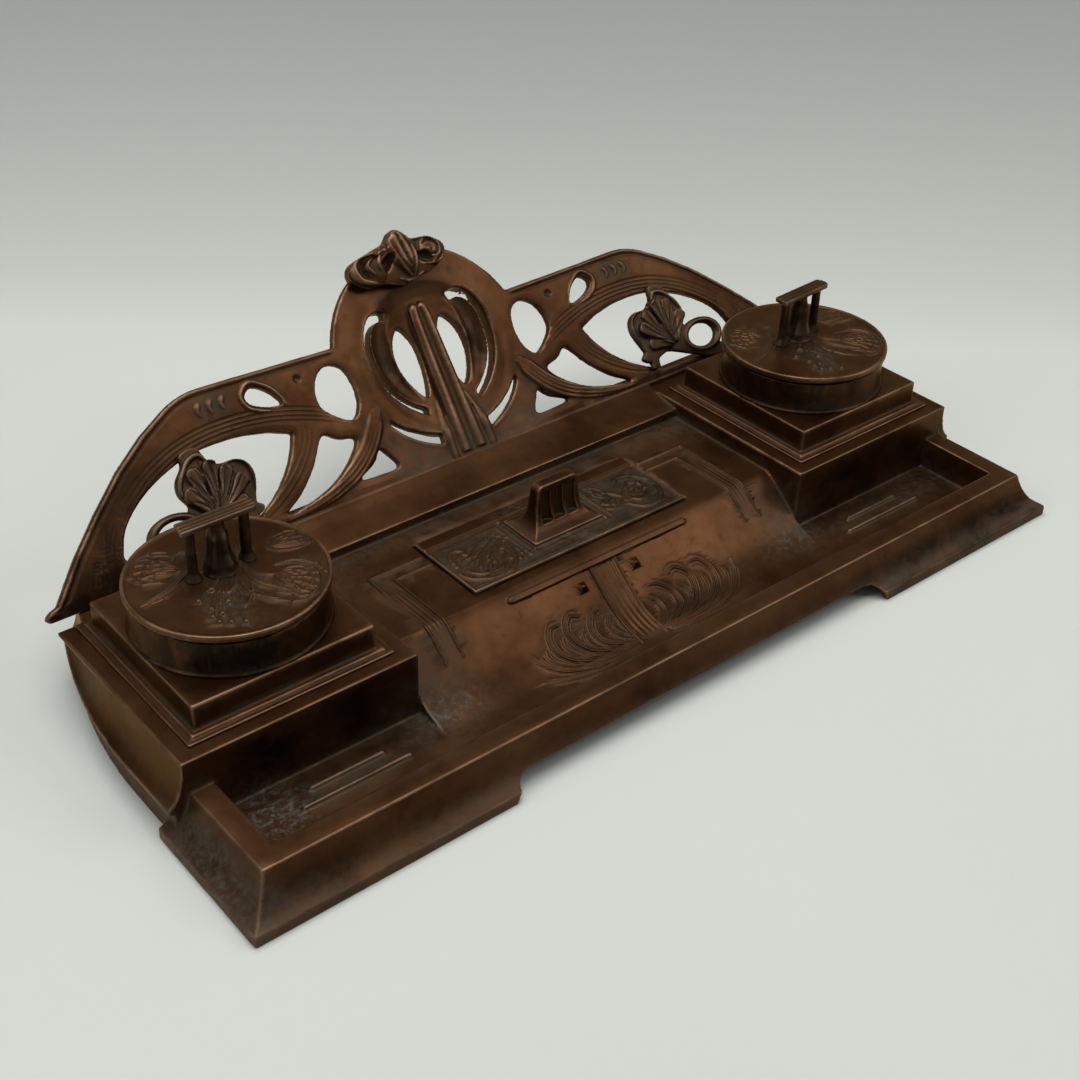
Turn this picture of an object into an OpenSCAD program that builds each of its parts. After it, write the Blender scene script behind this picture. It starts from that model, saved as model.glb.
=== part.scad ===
// Desk inkstand: a cast metal stand with a pen tray, two covered ink glasses,
// a nib box and a pierced gallery that leans back.
// X runs along the front, Y runs back, Z is up from the table.
// Inside the modules a depth is measured back from the front edge of the flange.

/* [Base] */
// Width over the foot flange
base_w = 380; // [370:1:400]
// Depth of the base from the front flange to the back wall
base_d = 151.5; // [151:0.5:158]
// Height of the tray rim above the table
rim_h = 18.2; // [16:0.2:20]
// Width of the flat rim round the tray
rim_w = 8.4; // [6:0.2:9]
// How far the rim's outer edge stands back from the flange
skirt_run = 9.7; // [8:0.1:11]
// Height of the flange's upright edge
flange_h = 4.1; // [3:0.1:5]
// Thickness of the casting
wall = 3; // [2.5:0.1:3.4]
// Height of the tray floor
floor_h = 5; // [4.5:0.1:6]
// Length of each bracket foot along the front
foot_len = 99; // [70:1:120]
// Clear height of the arch between the front feet
arch_h = 7.5; // [5:0.1:8]
// How far the arch's ends round over, along the front
arch_round = 11; // [6:0.5:14]
// Length of the flange along each side
side_foot_len = 58; // [54:1:64]

/* [Platform] */
// Height of the platform between the pedestals
platform_h = 23.6; // [22:0.1:25]
// Thickness of the platform
platform_t = 4.5; // [4:0.1:5]
// Depth at which the roll leaves the tray floor
roll_start = 35.7; // [33:0.1:38]
// Depth at which the roll meets the platform
roll_end = 69.7; // [66:0.1:71]
// Depth of the ledge's front edge
ledge_d = 123.1; // [120:0.1:126]
// Height of the ledge's front edge
ledge_h = 27.5; // [26:0.1:28.5]
// Distance of the outer frame line from the middle
frame_x = 77.5; // [72:0.5:84]
// Distance between the two frame lines on each side
frame_gap = 7.5; // [5:0.5:11]
// Depth at which the frame lines begin on the roll
frame_front_d = 57.7; // [50:0.1:62]
// Depth of the frame line that is furthest back
frame_back_d = 104.4; // [100:0.1:112]
// Distance between the two frame lines along the back
frame_back_gap = 5.7; // [4:0.1:8]
// Width of a raised frame line
line_w = 1.2; // [0.8:0.1:1.6]
// How far raised lines and bars stand up
line_h = 0.7; // [0.4:0.1:1]
// Length of the raised bar in front of the nib lid
front_bar_l = 88; // [60:1:100]
// Depth of that bar's middle
front_bar_d = 65.7; // [63:0.1:67]
// Width of that bar
front_bar_w = 2; // [1.5:0.1:2.4]
// Distance between the two lines of the strap down the roll
strap_w = 12; // [8:0.5:18]
// Size of the square base of a stud
stud_w = 5; // [3:0.1:6]
// Distance of a stud from the middle
stud_x = 13; // [10:0.5:20]
// Depth of the studs
stud_d = 60.4; // [57:0.1:62]
// Distance of the pen bars from the middle
pen_bar_x = 129; // [124:0.5:140]
// Length of the front pen bar
pen_bar_front_l = 42; // [30:1:60]
// Length of the back pen bar
pen_bar_back_l = 29; // [20:1:50]
// Depth of the front pen bar
pen_bar_d = 36.1; // [30:0.1:40]
// Distance between the two pen bars
pen_bar_gap = 6.4; // [5:0.1:9]
// Width of a pen bar
pen_bar_w = 1.4; // [1:0.1:2]
// Height of a pen bar
pen_bar_h = 1.2; // [0.8:0.1:2]

/* [Pedestals] */
// Distance of the inkwell axes from the middle
well_x = 137.6; // [136:0.1:140]
// Depth of the inkwell axes
well_d = 95.9; // [94:0.1:98]
// Width of a pedestal's top slab
slab_w = 89.4; // [86:0.2:91]
// Depth of a pedestal's front face
ped_front = 51.9; // [51:0.1:54]
// Depth of the slab's back edge
slab_back = 135.5; // [135:0.5:138]
// Height of the slab
slab_h = 30.4; // [30:0.1:32]
// Thickness of the slab's upright edge
slab_edge = 1.6; // [1:0.1:2.5]
// How far the cove's lip stands out past the slab
lip_out = 6.2; // [4:0.1:7]
// Height of the cove's lip
lip_h = 14; // [12:0.1:16]
// Height of the lip's upright edge
lip_edge = 1.4; // [1:0.1:2]
// How far the lower band stands back from the lip
band_in = 2.2; // [1:0.1:3]
// Radius of the sides' long curve towards the back, in plan
side_bow_r = 200; // [190:5:300]
// Depth at which that curve begins
side_bow_d = 78.7; // [76:0.1:84]

/* [Plinths and collars] */
// Width of a square plinth
plinth_w = 68.4; // [67:0.2:70]
// Height of a plinth's top above the table
plinth_h = 41.4; // [39:0.1:44]
// Height of each of the two steps under the plinth
step_h = 0.9; // [0.6:0.1:1.2]
// How far each step stands out
step_out = 2.3; // [1.5:0.1:2.6]
// Outer diameter of a collar
collar_d = 66.6; // [64:0.2:67]
// Height of a collar's top above the table
collar_h = 54.6; // [52:0.1:57]
// Thickness of a collar's wall
collar_wall = 3.9; // [3:0.1:4.5]
// Height of the thin ring round a collar's foot
foot_ring_h = 0.8; // [0.5:0.1:1]
// How far that ring stands out
foot_ring_out = 0.9; // [0.5:0.1:1]

/* [Ink glasses and lids] */
// Clearance between a glass and its collar, all round
glass_gap = 0.4; // [0.2:0.05:0.6]
// Thickness of the glass
glass_t = 2.5; // [2:0.1:3]
// Thickness of the glass's bottom
glass_bottom = 4; // [3:0.1:6]
// Height of a glass's bottom above the table
glass_low = 8; // [6:0.5:14]
// Thickness of the glass's flange
glass_flange_t = 1.1; // [0.8:0.1:1.5]
// Diameter of the glass's flange
glass_flange_d = 64.6; // [62.5:0.1:65.4]
// Diameter of a lid
lid_d = 68.8; // [67:0.1:72]
// Thickness of a lid's disc
lid_t = 2; // [1.6:0.1:3]
// Width of the thin rim on top of a lid
lid_rim_w = 1.2; // [0.8:0.1:2]
// Height of that rim
lid_rim_h = 0.5; // [0.3:0.1:0.8]
// Clearance between a lid's locating ring and the glass, all round
lid_gap = 0.4; // [0.2:0.05:0.6]
// Depth of a lid's locating ring
lid_ring_h = 5; // [3:0.5:8]
// Thickness of a lid's locating ring
lid_ring_t = 2; // [1.5:0.1:3]
// How far the right lid lies turned in its glass, in degrees
lid_turn_right = 4; // [-10:1:10]

/* [Lid handles] */
// Length of the finger bar
bar_l = 28.6; // [26:0.1:32]
// Width of the finger bar
bar_w = 6.4; // [5:0.1:8]
// Thickness of the finger bar
bar_t = 2; // [1.6:0.1:3]
// Height of the bar's top above the lid
bar_h = 21.3; // [16:0.1:26]
// How far the handle stands behind the lid's middle
bar_back = 4; // [0:0.5:6]
// Distance between the two posts
post_span = 20; // [18:0.5:22]
// Diameter of a post
post_d = 3.6; // [3.4:0.1:4.5]
// Diameter of the flare at a post's foot
post_foot_d = 6.6; // [5:0.1:8]
// Diameter of the middle stem
stem_d = 5; // [4:0.1:6]
// Diameter of the flare at the stem's foot
stem_foot_d = 12.8; // [10:0.1:14]
// Diameter of the rivets in the posts
rivet_d = 2.2; // [1.8:0.1:2.4]
// How deep a rivet reaches into its post
rivet_grip = 5.6; // [4:0.1:8]
// Clearance round a rivet or a screw
pin_gap = 0.05; // [0.02:0.01:0.1]

/* [Nib box] */
// Width of the nib lid
nib_w = 103.6; // [96:0.2:108]
// Depth of the nib lid, front to back
nib_d = 37.9; // [34:0.1:40]
// Depth of the nib lid's middle
nib_mid_d = 93.3; // [92:0.1:95]
// Thickness of the nib lid
nib_t = 2.4; // [2:0.1:2.8]
// How far the nib lid stands proud of the platform
nib_proud = 1; // [0.5:0.1:1.4]
// Clearance round the nib lid
nib_gap = 0.4; // [0.2:0.05:0.6]
// Width of the seat that carries the nib lid
nib_seat = 3.4; // [2.6:0.1:4]
// Width of the plain raised band along the nib lid's back
nib_band_w = 7.2; // [5:0.1:9]
// How deep the panels of the nib lid lie below its raised parts
nib_panel_drop = 0.5; // [0.3:0.1:0.8]
// Thickness of the sheet metal nib well
well_t = 0.8; // [0.6:0.1:1]
// Height of the nib well's bottom above the table
well_low = 6; // [4:0.1:10]
// Width of the grip's base
knob_base_w = 33; // [28:0.5:38]
// Depth of the grip's base
knob_base_d = 20; // [16:0.5:24]
// Width of the grip near its top
knob_top_w = 19.6; // [16:0.2:24]
// Thickness of the grip at its top
knob_top_t = 4.6; // [4:0.1:6]
// Height of the grip
knob_h = 19; // [15:0.2:22]
// Radius of the flutes in the grip
flute_r = 2.6; // [2:0.1:2.8]
// Distance from one flute to the next
flute_pitch = 6; // [5.4:0.1:6.4]

/* [Gallery] */
// Width of the gallery over its feet
gallery_w = 364; // [350:1:370]
// Depth of the gallery's front face at its foot
gallery_d = 140.2; // [139:0.1:142]
// Angle that the gallery leans back from upright
lean = 38.3; // [34:0.1:40]
// Thickness of the gallery
gallery_t = 3.5; // [3:0.1:4.5]
// Radius of the round crest
crest_r = 45; // [43:0.1:46]
// Distance of the crest's centre from the gallery's foot
crest_c = 43.3; // [42:0.1:45]
// Height of the wings, along the slope
wing_h = 60.4; // [58:0.1:63]
// Width of the crest's two middle ribs
rib_w = 4.4; // [3:0.1:5]
// Radius of the round hollow inside the crest
dish_r = 30.5; // [26:0.5:33]
// Depth of that hollow
dish_depth = 3.4; // [2:0.1:5]
// How far the blossom mount stands above the crest
boss_over = 6.5; // [3:0.1:9]
// How far the blossom mount lies to the left of the middle
boss_left = 4; // [0:0.5:6]
// Length of the blossom mount on the crest, along the slope
boss_l = 22; // [18:0.5:24]
// Width of the blossom mount on the crest
boss_w = 44; // [38:0.5:50]
// Thickness of the blossom mount on the crest
boss_t = 5; // [4:0.1:7]
// Thickness of the side blossoms' flat parts
blossom_t = 2.6; // [2:0.1:4]
// How far the side blossoms' flutes stand above the gallery
flute_rise = 5; // [3.5:0.1:6]
// Half the height of the scroll ring beside each blossom
ring_r = 7.8; // [7:0.1:8]
// How much longer than high that ring is
ring_stretch = 1.5; // [1.2:0.05:1.5]
// Width of the scroll ring
ring_w = 2.8; // [2:0.1:3.4]

/* [Fixings] */
// Thread diameter of the screws
screw_d = 3; // [2.5:0.1:3.4]
// Head diameter of the screws
head_d = 5.6; // [5:0.1:6.5]
// Head height of the screws
head_h = 1.8; // [1.5:0.1:2.5]
// How deep a screw reaches into a plinth or into the grip
screw_grip = 6; // [4:0.1:7]
// How deep a screw reaches into the gallery's lugs
lug_grip = 4; // [3:0.1:4.4]
// Distance of the gallery's screws behind its front face
lug_back = 5.2; // [5.1:0.1:5.4]
// Distance of the inner gallery screws from the middle
lug_in_x = 60; // [54:1:68]
// Distance of the outer gallery screws from the middle
lug_out_x = 160; // [157:1:164]
// Free depth beyond the end of each screw
screw_end_gap = 0.4; // [0.2:0.1:0.8]

/* [Hidden] */
$fn = 64;

bronze = [0.36, 0.20, 0.13];
dark_bronze = [0.24, 0.15, 0.11];
clear_glass = [0.75, 0.85, 0.85, 0.5];
brass = [0.62, 0.48, 0.25];
steel = [0.5, 0.5, 0.5];

eps = 0.01;
over = 1;

skirt_top_x = base_w / 2 - skirt_run;
tray_in = skirt_run + rim_w;
ped_in_x = well_x - slab_w / 2;
ped_out_x = well_x + slab_w / 2;
lip_x = ped_out_x + lip_out;
band_x = lip_x - band_in;
lip_under = 0.6;
cove_swell = 3.5;

collar_r = collar_d / 2;
glass_r = collar_r - collar_wall - glass_gap;
glass_top = collar_h + glass_flange_t;
lid_ring_r = glass_r - glass_t - lid_gap;
lid_top = glass_top + lid_t;
spigot_r = collar_r - 1.5;

nib_top = platform_h + nib_proud;
nib_low = nib_top - nib_t;
seat_h = nib_low - well_t;
well_w = nib_w - 2 * nib_seat;
well_depth_y = nib_d - 2 * nib_seat;

crest_top = crest_c + crest_r;
boss_top = crest_top + boss_over;
gallery_reach = max(crest_top * sin(lean) + gallery_t * cos(lean), boss_top * sin(lean));
cove_h = 3.2;
cove_run = 7;
cove_drop = 0.9;
lug_h = lug_grip + 1.6;
lug_chamfer = 1;
lug_low_h = 2;
well_overlap = 20;
overall_d = gallery_d + gallery_reach;
front_y = -overall_d / 2;

// Points of a quadratic curve from a to c, drawn towards b
function bend(a, b, c, n = 10) =
    [for (i = [0:n]) let (t = i / n) a * (1 - t) * (1 - t) + b * 2 * t * (1 - t) + c * t * t];

// A closed smooth curve through the given points
function smooth(p, n = 5) =
    let (m = len(p))
    [for (i = [0:m - 1], j = [0:n - 1])
        let (t = j / n, a = p[(i + m - 1) % m], b = p[i], c = p[(i + 1) % m], d = p[(i + 2) % m])
        0.5 * (2 * b + (c - a) * t + (2 * a - 5 * b + 4 * c - d) * t * t
               + (3 * b - a - 3 * c + d) * t * t * t)];

// An open smooth curve through the given points
function sweep(p, n = 5) =
    let (m = len(p), all = smooth(concat([2 * p[0] - p[1]], p, [2 * p[m - 1] - p[m - 2]]), n))
    [for (i = [n:n * m]) all[i]];

// Height of the rolled front of the platform at a depth
function roll_z(d) =
    let (t = pow(min(1, max(0, (roll_end - d) / (roll_end - roll_start))), 0.7))
    floor_h + (platform_h - floor_h) * (1 + cos(180 * t)) / 2;

function roll_points(shift, drop) =
    [for (i = [0:24]) let (d = roll_start + (roll_end - roll_start) * i / 24)
        [d + shift, roll_z(d) - drop]];

// A line or bar of given height that lies on the roll and the platform, from depth d0 to d1
module over_roll(x0, x1, d0, d1, height) {
    along = [for (p = roll_points(0, 0)) if (p[0] > d0 && p[0] < d1) p];
    path = concat([[d0, roll_z(d0)]], along, [[d1, roll_z(d1)]]);
    along_x(x0, x1)
        polygon(concat([for (p = path) p + [0, height]],
                       [for (i = [len(path) - 1:-1:0]) path[i] - [0, eps]]));
}

// Outer face of the skirt: distance in from the flange edge, and height
function skirt_line(inset, top) =
    [for (p = bend([0, flange_h], [skirt_run * 0.68, flange_h + 2.1], [skirt_run, rim_h]))
        [p[0] + inset, min(p[1], top)]];

// Stands the part so that the origin is under the middle of the whole object
module placed() {
    translate([0, front_y, 0]) children();
}

// Draws a shape given by depth and height, from x0 to x1
module along_x(x0, x1) {
    translate([x0, 0, 0]) rotate([90, 0, 90]) linear_extrude(x1 - x0) children();
}

// Draws a shape given by x and height, from depth d0 to d1
module along_y(d0, d1) {
    translate([0, d1, 0]) rotate([90, 0, 0]) linear_extrude(d1 - d0) children();
}

module both_sides() {
    children();
    mirror([1, 0, 0]) children();
}

module at_well(side) {
    translate([side * well_x, well_d, 0]) children();
}

// The flared skirt as a solid from a low to a top height, moved in by inset
module skirt_form(inset, low, top, back) {
    line = skirt_line(inset, top);
    half = base_w / 2;
    intersection() {
        along_y(inset, back)
            polygon(concat([[-half + inset, low]], [for (p = line) [p[0] - half, p[1]]],
                           [for (i = [len(line) - 1:-1:0]) [half - line[i][0], line[i][1]]],
                           [[half - inset, low]]));
        along_x(-half, half)
            polygon(concat([[inset, low]], line, [[back, top], [back, low]]));
    }
}

// Section of a pedestal's outer side: slab edge, cove, lip and lower band
function side_section(shift) =
    concat([[well_x + shift, 0], [band_x + shift, 0],
            [band_x + shift, lip_h - lip_edge - lip_under], [lip_x + shift, lip_h - lip_edge]],
           bend([lip_x + shift, lip_h], [ped_out_x + lip_under + shift, lip_h + cove_swell],
                [ped_out_x + shift, slab_h - slab_edge]),
           [[ped_out_x + shift, slab_h - eps], [well_x + shift, slab_h - eps]]);

module pedestal() {
    // Slab and inner block
    translate([ped_in_x, ped_front, slab_h - slab_edge])
        cube([slab_w, slab_back - ped_front, slab_edge]);
    translate([ped_in_x, ped_front, 0])
        cube([well_x - ped_in_x, base_d - ped_front, slab_h]);
    // Straight stretch of the side
    along_y(ped_front, side_bow_d) polygon(side_section(0));
    // Long curve towards the back
    bow_c = lip_x - side_bow_r;
    bow_angle = asin((base_d - side_bow_d) / side_bow_r);
    intersection() {
        translate([bow_c, side_bow_d, 0])
            rotate_extrude(angle = bow_angle + 4, $fn = 360) polygon(side_section(-bow_c));
        translate([0, side_bow_d, 0])
            cube([base_w, base_d - side_bow_d, slab_h]);
    }
    translate([ped_in_x, side_bow_d, 0])
        cube([well_x - ped_in_x + well_overlap, base_d - side_bow_d, slab_h]);
}

// Hollow under a pedestal, whose outer wall follows the long curve
module pedestal_hollow() {
    low = [ped_in_x + wall, ped_front + wall, -over];
    high = slab_h - wall + over;
    translate(low) cube([ped_out_x - wall - low[0], side_bow_d - low[1] + eps, high]);
    intersection() {
        translate([lip_x - side_bow_r, side_bow_d, -over])
            cylinder(r = side_bow_r - lip_out - wall, h = high, $fn = 360);
        translate([low[0], side_bow_d, -over])
            cube([slab_w, base_d - wall - side_bow_d, high]);
    }
}

// Platform, its rolled front and the ledge, as one section across the middle
module centre_form() {
    plate_foot = [gallery_d, slab_h];
    cove_start = [gallery_d - cove_run, slab_h - cove_drop];
    cove_middle = [gallery_d, slab_h + cove_drop / 2];
    cove_end = [gallery_d + cove_h * tan(lean), slab_h + cove_h];
    along_x(-ped_in_x - eps, ped_in_x + eps)
        polygon(concat([[roll_start, 0]], roll_points(0, 0),
                       [[ledge_d, platform_h], [ledge_d, ledge_h]],
                       bend(cove_start, cove_middle, cove_end, 5),
                       [plate_foot, [base_d, slab_h], [base_d, 0]]));
}

// Hollow under the platform and the ledge
module centre_hollow() {
    ceiling = platform_h - platform_t;
    along_x(-ped_in_x + wall, ped_in_x - wall)
        polygon(concat([[roll_start + wall, -over]],
                       [for (p = roll_points(wall, wall)) [p[0], min(p[1], ceiling)]],
                       [[ledge_d + wall, ceiling], [ledge_d + wall, ledge_h - wall],
                        [gallery_d, slab_h - wall], [base_d - wall, slab_h - wall],
                        [base_d - wall, -over]]));
}

module frame_lines() {
    cross_x = nib_w / 2 + line_w + line_h;
    // Two lines on each side that come over the roll, and two along the back
    both_sides()
        for (k = [0, 1]) {
            line_x = frame_x - k * frame_gap;
            back = frame_back_d - k * frame_back_gap;
            over_roll(line_x - line_w / 2, line_x + line_w / 2, frame_front_d, back, line_h);
            translate([cross_x, back - line_w, platform_h - eps])
                cube([line_x + line_w / 2 - cross_x, line_w, line_h + eps]);
        }
    // Raised bar in front of the nib lid
    over_roll(-front_bar_l / 2, front_bar_l / 2, front_bar_d - front_bar_w / 2,
              front_bar_d + front_bar_w / 2, 1.5 * line_h);
    // Strap of two lines down the middle of the roll
    both_sides()
        over_roll(strap_w / 2 - line_w / 2, strap_w / 2 + line_w / 2, roll_start,
                  front_bar_d, line_h);
    // Four-sided studs that stand square to the roll
    slope = atan((roll_z(stud_d + 1) - roll_z(stud_d - 1)) / 2);
    tip_d = 0.4;
    both_sides()
        translate([stud_x, stud_d, roll_z(stud_d)]) rotate([slope, 0, 0])
            translate([0, 0, -line_h]) rotate(45)
                cylinder(d1 = stud_w * sqrt(2), d2 = tip_d, h = stud_w / 2 + line_h, $fn = 4);
}

// Thin bars on the tray floor that keep a pen from rolling
module pen_bars() {
    lengths = [pen_bar_front_l, pen_bar_back_l];
    both_sides()
        for (k = [0, 1])
            translate([pen_bar_x - lengths[k] / 2, pen_bar_d + k * pen_bar_gap - pen_bar_w / 2,
                       floor_h - eps])
                cube([lengths[k], pen_bar_w, pen_bar_h + eps]);
}

// Arch between the front feet, with rounded ends
module front_arch() {
    half = base_w / 2 - foot_len;
    right = bend([half, 0], [half - 1, arch_h], [half - arch_round, arch_h], 8);
    along_y(-over, tray_in - wall)
        polygon(concat([[-half, -over], [half, -over]], right,
                       [for (i = [len(right) - 1:-1:0]) [-right[i][0], right[i][1]]]));
}

module base_casting() {
    color(bronze)
    difference() {
        union() {
            difference() {
                skirt_form(0, 0, rim_h, side_foot_len);
                difference() {
                    skirt_form(wall, -over, rim_h - wall, side_foot_len + over);
                    translate([-skirt_top_x + rim_w - wall, tray_in - wall, floor_h - wall])
                        cube([2 * (skirt_top_x - rim_w + wall), base_d, rim_h]);
                }
                translate([-skirt_top_x + rim_w, tray_in, floor_h])
                    cube([2 * (skirt_top_x - rim_w), base_d, rim_h]);
            }
            both_sides() pedestal();
            centre_form();
            frame_lines();
            pen_bars();
        }
        both_sides() pedestal_hollow();
        centre_hollow();
        front_arch();
        // Wells for the ink glasses
        both_sides() at_well(1)
            translate([0, 0, slab_h - 2 * wall]) cylinder(r = spigot_r + pin_gap, h = 3 * wall);
        // Seat and opening of the nib box
        translate([-nib_w / 2 - nib_gap, nib_mid_d - nib_d / 2 - nib_gap, seat_h])
            cube([nib_w + 2 * nib_gap, nib_d + 2 * nib_gap, platform_h]);
        translate([-well_w / 2 - nib_gap, nib_mid_d - well_depth_y / 2 - nib_gap, 0])
            cube([well_w + 2 * nib_gap, well_depth_y + 2 * nib_gap, platform_h]);
        plinth_screw_places() cylinder(d = screw_d + 2 * pin_gap, h = 4 * wall, center = true);
        gallery_screw_places() cylinder(d = screw_d + 2 * pin_gap, h = 4 * wall, center = true);
    }
}

// Places of the plinth's screws, at the underside of the slab
module plinth_screw_places() {
    head_margin = 1.2;
    corner = plinth_w / 2 - head_d / 2 - head_margin;
    both_sides() at_well(1)
        for (i = [-1, 1], j = [-1, 1])
            translate([i * corner, j * corner, slab_h - wall]) children();
}

module plinth(side) {
    color(bronze)
    difference() {
        union() {
            for (k = [0, 1])
                at_well(side)
                    translate([0, 0, slab_h + step_h * (k + 0.5)])
                        cube([plinth_w + 2 * step_out * (2 - k), plinth_w + 2 * step_out * (2 - k),
                              step_h], center = true);
            at_well(side)
                translate([-plinth_w / 2, -plinth_w / 2, slab_h])
                    cube([plinth_w, plinth_w, plinth_h - slab_h]);
        }
        at_well(side) cylinder(r = spigot_r + pin_gap, h = 2 * plinth_h);
        plinth_screw_places()
            cylinder(d = screw_d + 2 * pin_gap, h = wall + screw_grip + screw_end_gap);
    }
}

module plinth_screws() {
    color(steel)
    plinth_screw_places() {
        cylinder(d = screw_d, h = wall + screw_grip);
        translate([0, 0, -head_h]) cylinder(d = head_d, h = head_h);
    }
}

module collar(side) {
    low = slab_h - wall;
    inner = collar_r - collar_wall;
    color(bronze)
    at_well(side)
        rotate_extrude($fn = 128)
            polygon([[inner, low], [spigot_r, low], [spigot_r, plinth_h],
                     [collar_r + foot_ring_out, plinth_h],
                     [collar_r + foot_ring_out, plinth_h + foot_ring_h],
                     [collar_r, plinth_h + foot_ring_h + 0.3], [collar_r, collar_h],
                     [inner, collar_h]]);
}

module liner(side) {
    inner = glass_r - glass_t;
    color(clear_glass)
    at_well(side)
        rotate_extrude($fn = 128)
            polygon([[0, glass_low], [glass_r, glass_low], [glass_r, collar_h],
                     [glass_flange_d / 2, collar_h], [glass_flange_d / 2, glass_top],
                     [inner, glass_top], [inner, glass_low + glass_bottom],
                     [0, glass_low + glass_bottom]]);
}

function lid_turn(side) = side > 0 ? lid_turn_right : 0;

// Places of a handle's posts, on the lid's top face
module post_places(side) {
    at_well(side) rotate(lid_turn(side))
        for (k = [-1, 1])
            translate([k * post_span / 2, bar_back, lid_top]) children();
}

module lid(side) {
    color(bronze)
    difference() {
        at_well(side)
            rotate_extrude($fn = 128)
                polygon([[0, glass_top], [lid_ring_r - lid_ring_t, glass_top],
                         [lid_ring_r - lid_ring_t, glass_top - lid_ring_h],
                         [lid_ring_r, glass_top - lid_ring_h], [lid_ring_r, glass_top],
                         [lid_d / 2, glass_top], [lid_d / 2, lid_top + lid_rim_h],
                         [lid_d / 2 - lid_rim_w, lid_top + lid_rim_h],
                         [lid_d / 2 - lid_rim_w - lid_rim_h, lid_top], [0, lid_top]]);
        post_places(side)
            cylinder(d = rivet_d + 2 * pin_gap, h = 4 * lid_t, center = true);
    }
}

module handle(side) {
    bar_low = lid_top + bar_h - bar_t;
    half = bar_l / 2;
    bar_slant = 1;
    color(dark_bronze)
    difference() {
        union() {
            // Finger bar, slanted at its left end and round at its right end
            at_well(side) rotate(lid_turn(side)) translate([0, bar_back, bar_low])
                linear_extrude(bar_t)
                    polygon(concat([[-half + bar_slant, bar_w / 2], [-half, -bar_w / 2]],
                                   bend([half - bar_w / 3, -bar_w / 2], [half, -bar_w / 2],
                                        [half, 0], 5),
                                   bend([half, 0], [half, bar_w / 2],
                                        [half - bar_w / 3, bar_w / 2], 5)));
            post_places(side) {
                cylinder(d = post_d, h = bar_h - bar_t);
                cylinder(d1 = post_foot_d, d2 = post_d, h = post_foot_d - post_d);
            }
            // Middle stem with a flared foot
            at_well(side) rotate(lid_turn(side)) translate([0, bar_back, lid_top])
                rotate_extrude()
                    polygon(concat([[0, 0]],
                                   bend([stem_foot_d / 2, 0], [stem_d / 2, bar_h / 5],
                                        [stem_d / 2, bar_h / 2]),
                                   [[stem_d / 2, bar_h - bar_t], [0, bar_h - bar_t]]));
        }
        post_places(side) translate([0, 0, -over])
            cylinder(d = rivet_d + 2 * pin_gap, h = rivet_grip + screw_end_gap + over);
    }
}

module lid_rivets(side) {
    color(brass)
    post_places(side) {
        translate([0, 0, -lid_t]) cylinder(d = rivet_d, h = lid_t + rivet_grip);
        translate([0, 0, -lid_t - rivet_d / 2]) cylinder(d = 2 * rivet_d, h = rivet_d / 2);
    }
}

module nib_well() {
    outer = [well_w, well_depth_y];
    color(brass)
    translate([0, nib_mid_d, 0])
    difference() {
        union() {
            translate([-outer[0] / 2, -outer[1] / 2, well_low])
                cube([outer[0], outer[1], nib_low - well_low]);
            translate([-nib_w / 2, -nib_d / 2, seat_h]) cube([nib_w, nib_d, well_t]);
        }
        translate([-outer[0] / 2 + well_t, -outer[1] / 2 + well_t, well_low + well_t])
            cube([outer[0] - 2 * well_t, outer[1] - 2 * well_t, platform_h]);
    }
}

module nib_lid() {
    edge_w = 1;
    color(bronze)
    translate([0, nib_mid_d, 0])
    difference() {
        translate([-nib_w / 2, -nib_d / 2, nib_low]) cube([nib_w, nib_d, nib_t]);
        // Sunk panels, between the raised edge, the plain band and the grip's own panel
        difference() {
            translate([-nib_w / 2 + edge_w, -nib_d / 2 + edge_w, nib_top - nib_panel_drop])
                cube([nib_w - 2 * edge_w, nib_d - edge_w - nib_band_w, nib_t]);
            translate([-knob_base_w / 2 - edge_w, -knob_base_d / 2 - edge_w, 0])
                cube([knob_base_w + 2 * edge_w, knob_base_d + 2 * edge_w, nib_top]);
        }
        cylinder(d = screw_d + 2 * pin_gap, h = 2 * nib_top);
    }
}

module nib_knob() {
    base = nib_top;
    half_b = knob_base_w / 2;
    half_t = knob_top_w / 2;
    front = knob_base_d / 2;
    thin = knob_top_t / 2;
    foot_edge = 0.8;
    top_round = 3;
    waist = 0.8;
    flute_cut = 0.3;
    color(dark_bronze)
    translate([0, nib_mid_d, base])
    difference() {
        intersection() {
            along_y(-front, front)
                polygon(concat([[-half_b, 0], [half_b, 0]],
                               bend([half_b, foot_edge], [half_t + waist, 2 * foot_edge],
                                    [half_t + waist, knob_h / 2]),
                               bend([half_t, knob_h - top_round], [half_t, knob_h],
                                    [half_t - top_round, knob_h], 4),
                               bend([-half_t + top_round, knob_h], [-half_t, knob_h],
                                    [-half_t, knob_h - top_round], 4),
                               bend([-half_t - waist, knob_h / 2],
                                    [-half_t - waist, 2 * foot_edge], [-half_b, foot_edge])));
            along_x(-half_b, half_b)
                polygon(concat([[-front, 0], [front, 0]],
                               bend([front, foot_edge], [thin + waist, 2 * foot_edge],
                                    [thin + waist / 2, knob_h * 0.6]),
                               [[thin, knob_h], [-thin, knob_h]],
                               bend([-thin - waist / 2, knob_h * 0.6],
                                    [-thin - waist, 2 * foot_edge], [-front, foot_edge])));
        }
        // Three flutes down the front and three down the back
        for (k = [-1, 1], i = [-1:1])
            translate([i * flute_pitch, k * (thin + flute_r - flute_cut), knob_h * 0.2])
                rotate([k * 3, 0, 0]) cylinder(r = flute_r, h = knob_h * 0.68);
        translate([0, 0, -over])
            cylinder(d = screw_d + 2 * pin_gap, h = screw_grip + screw_end_gap + over);
    }
}

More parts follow.
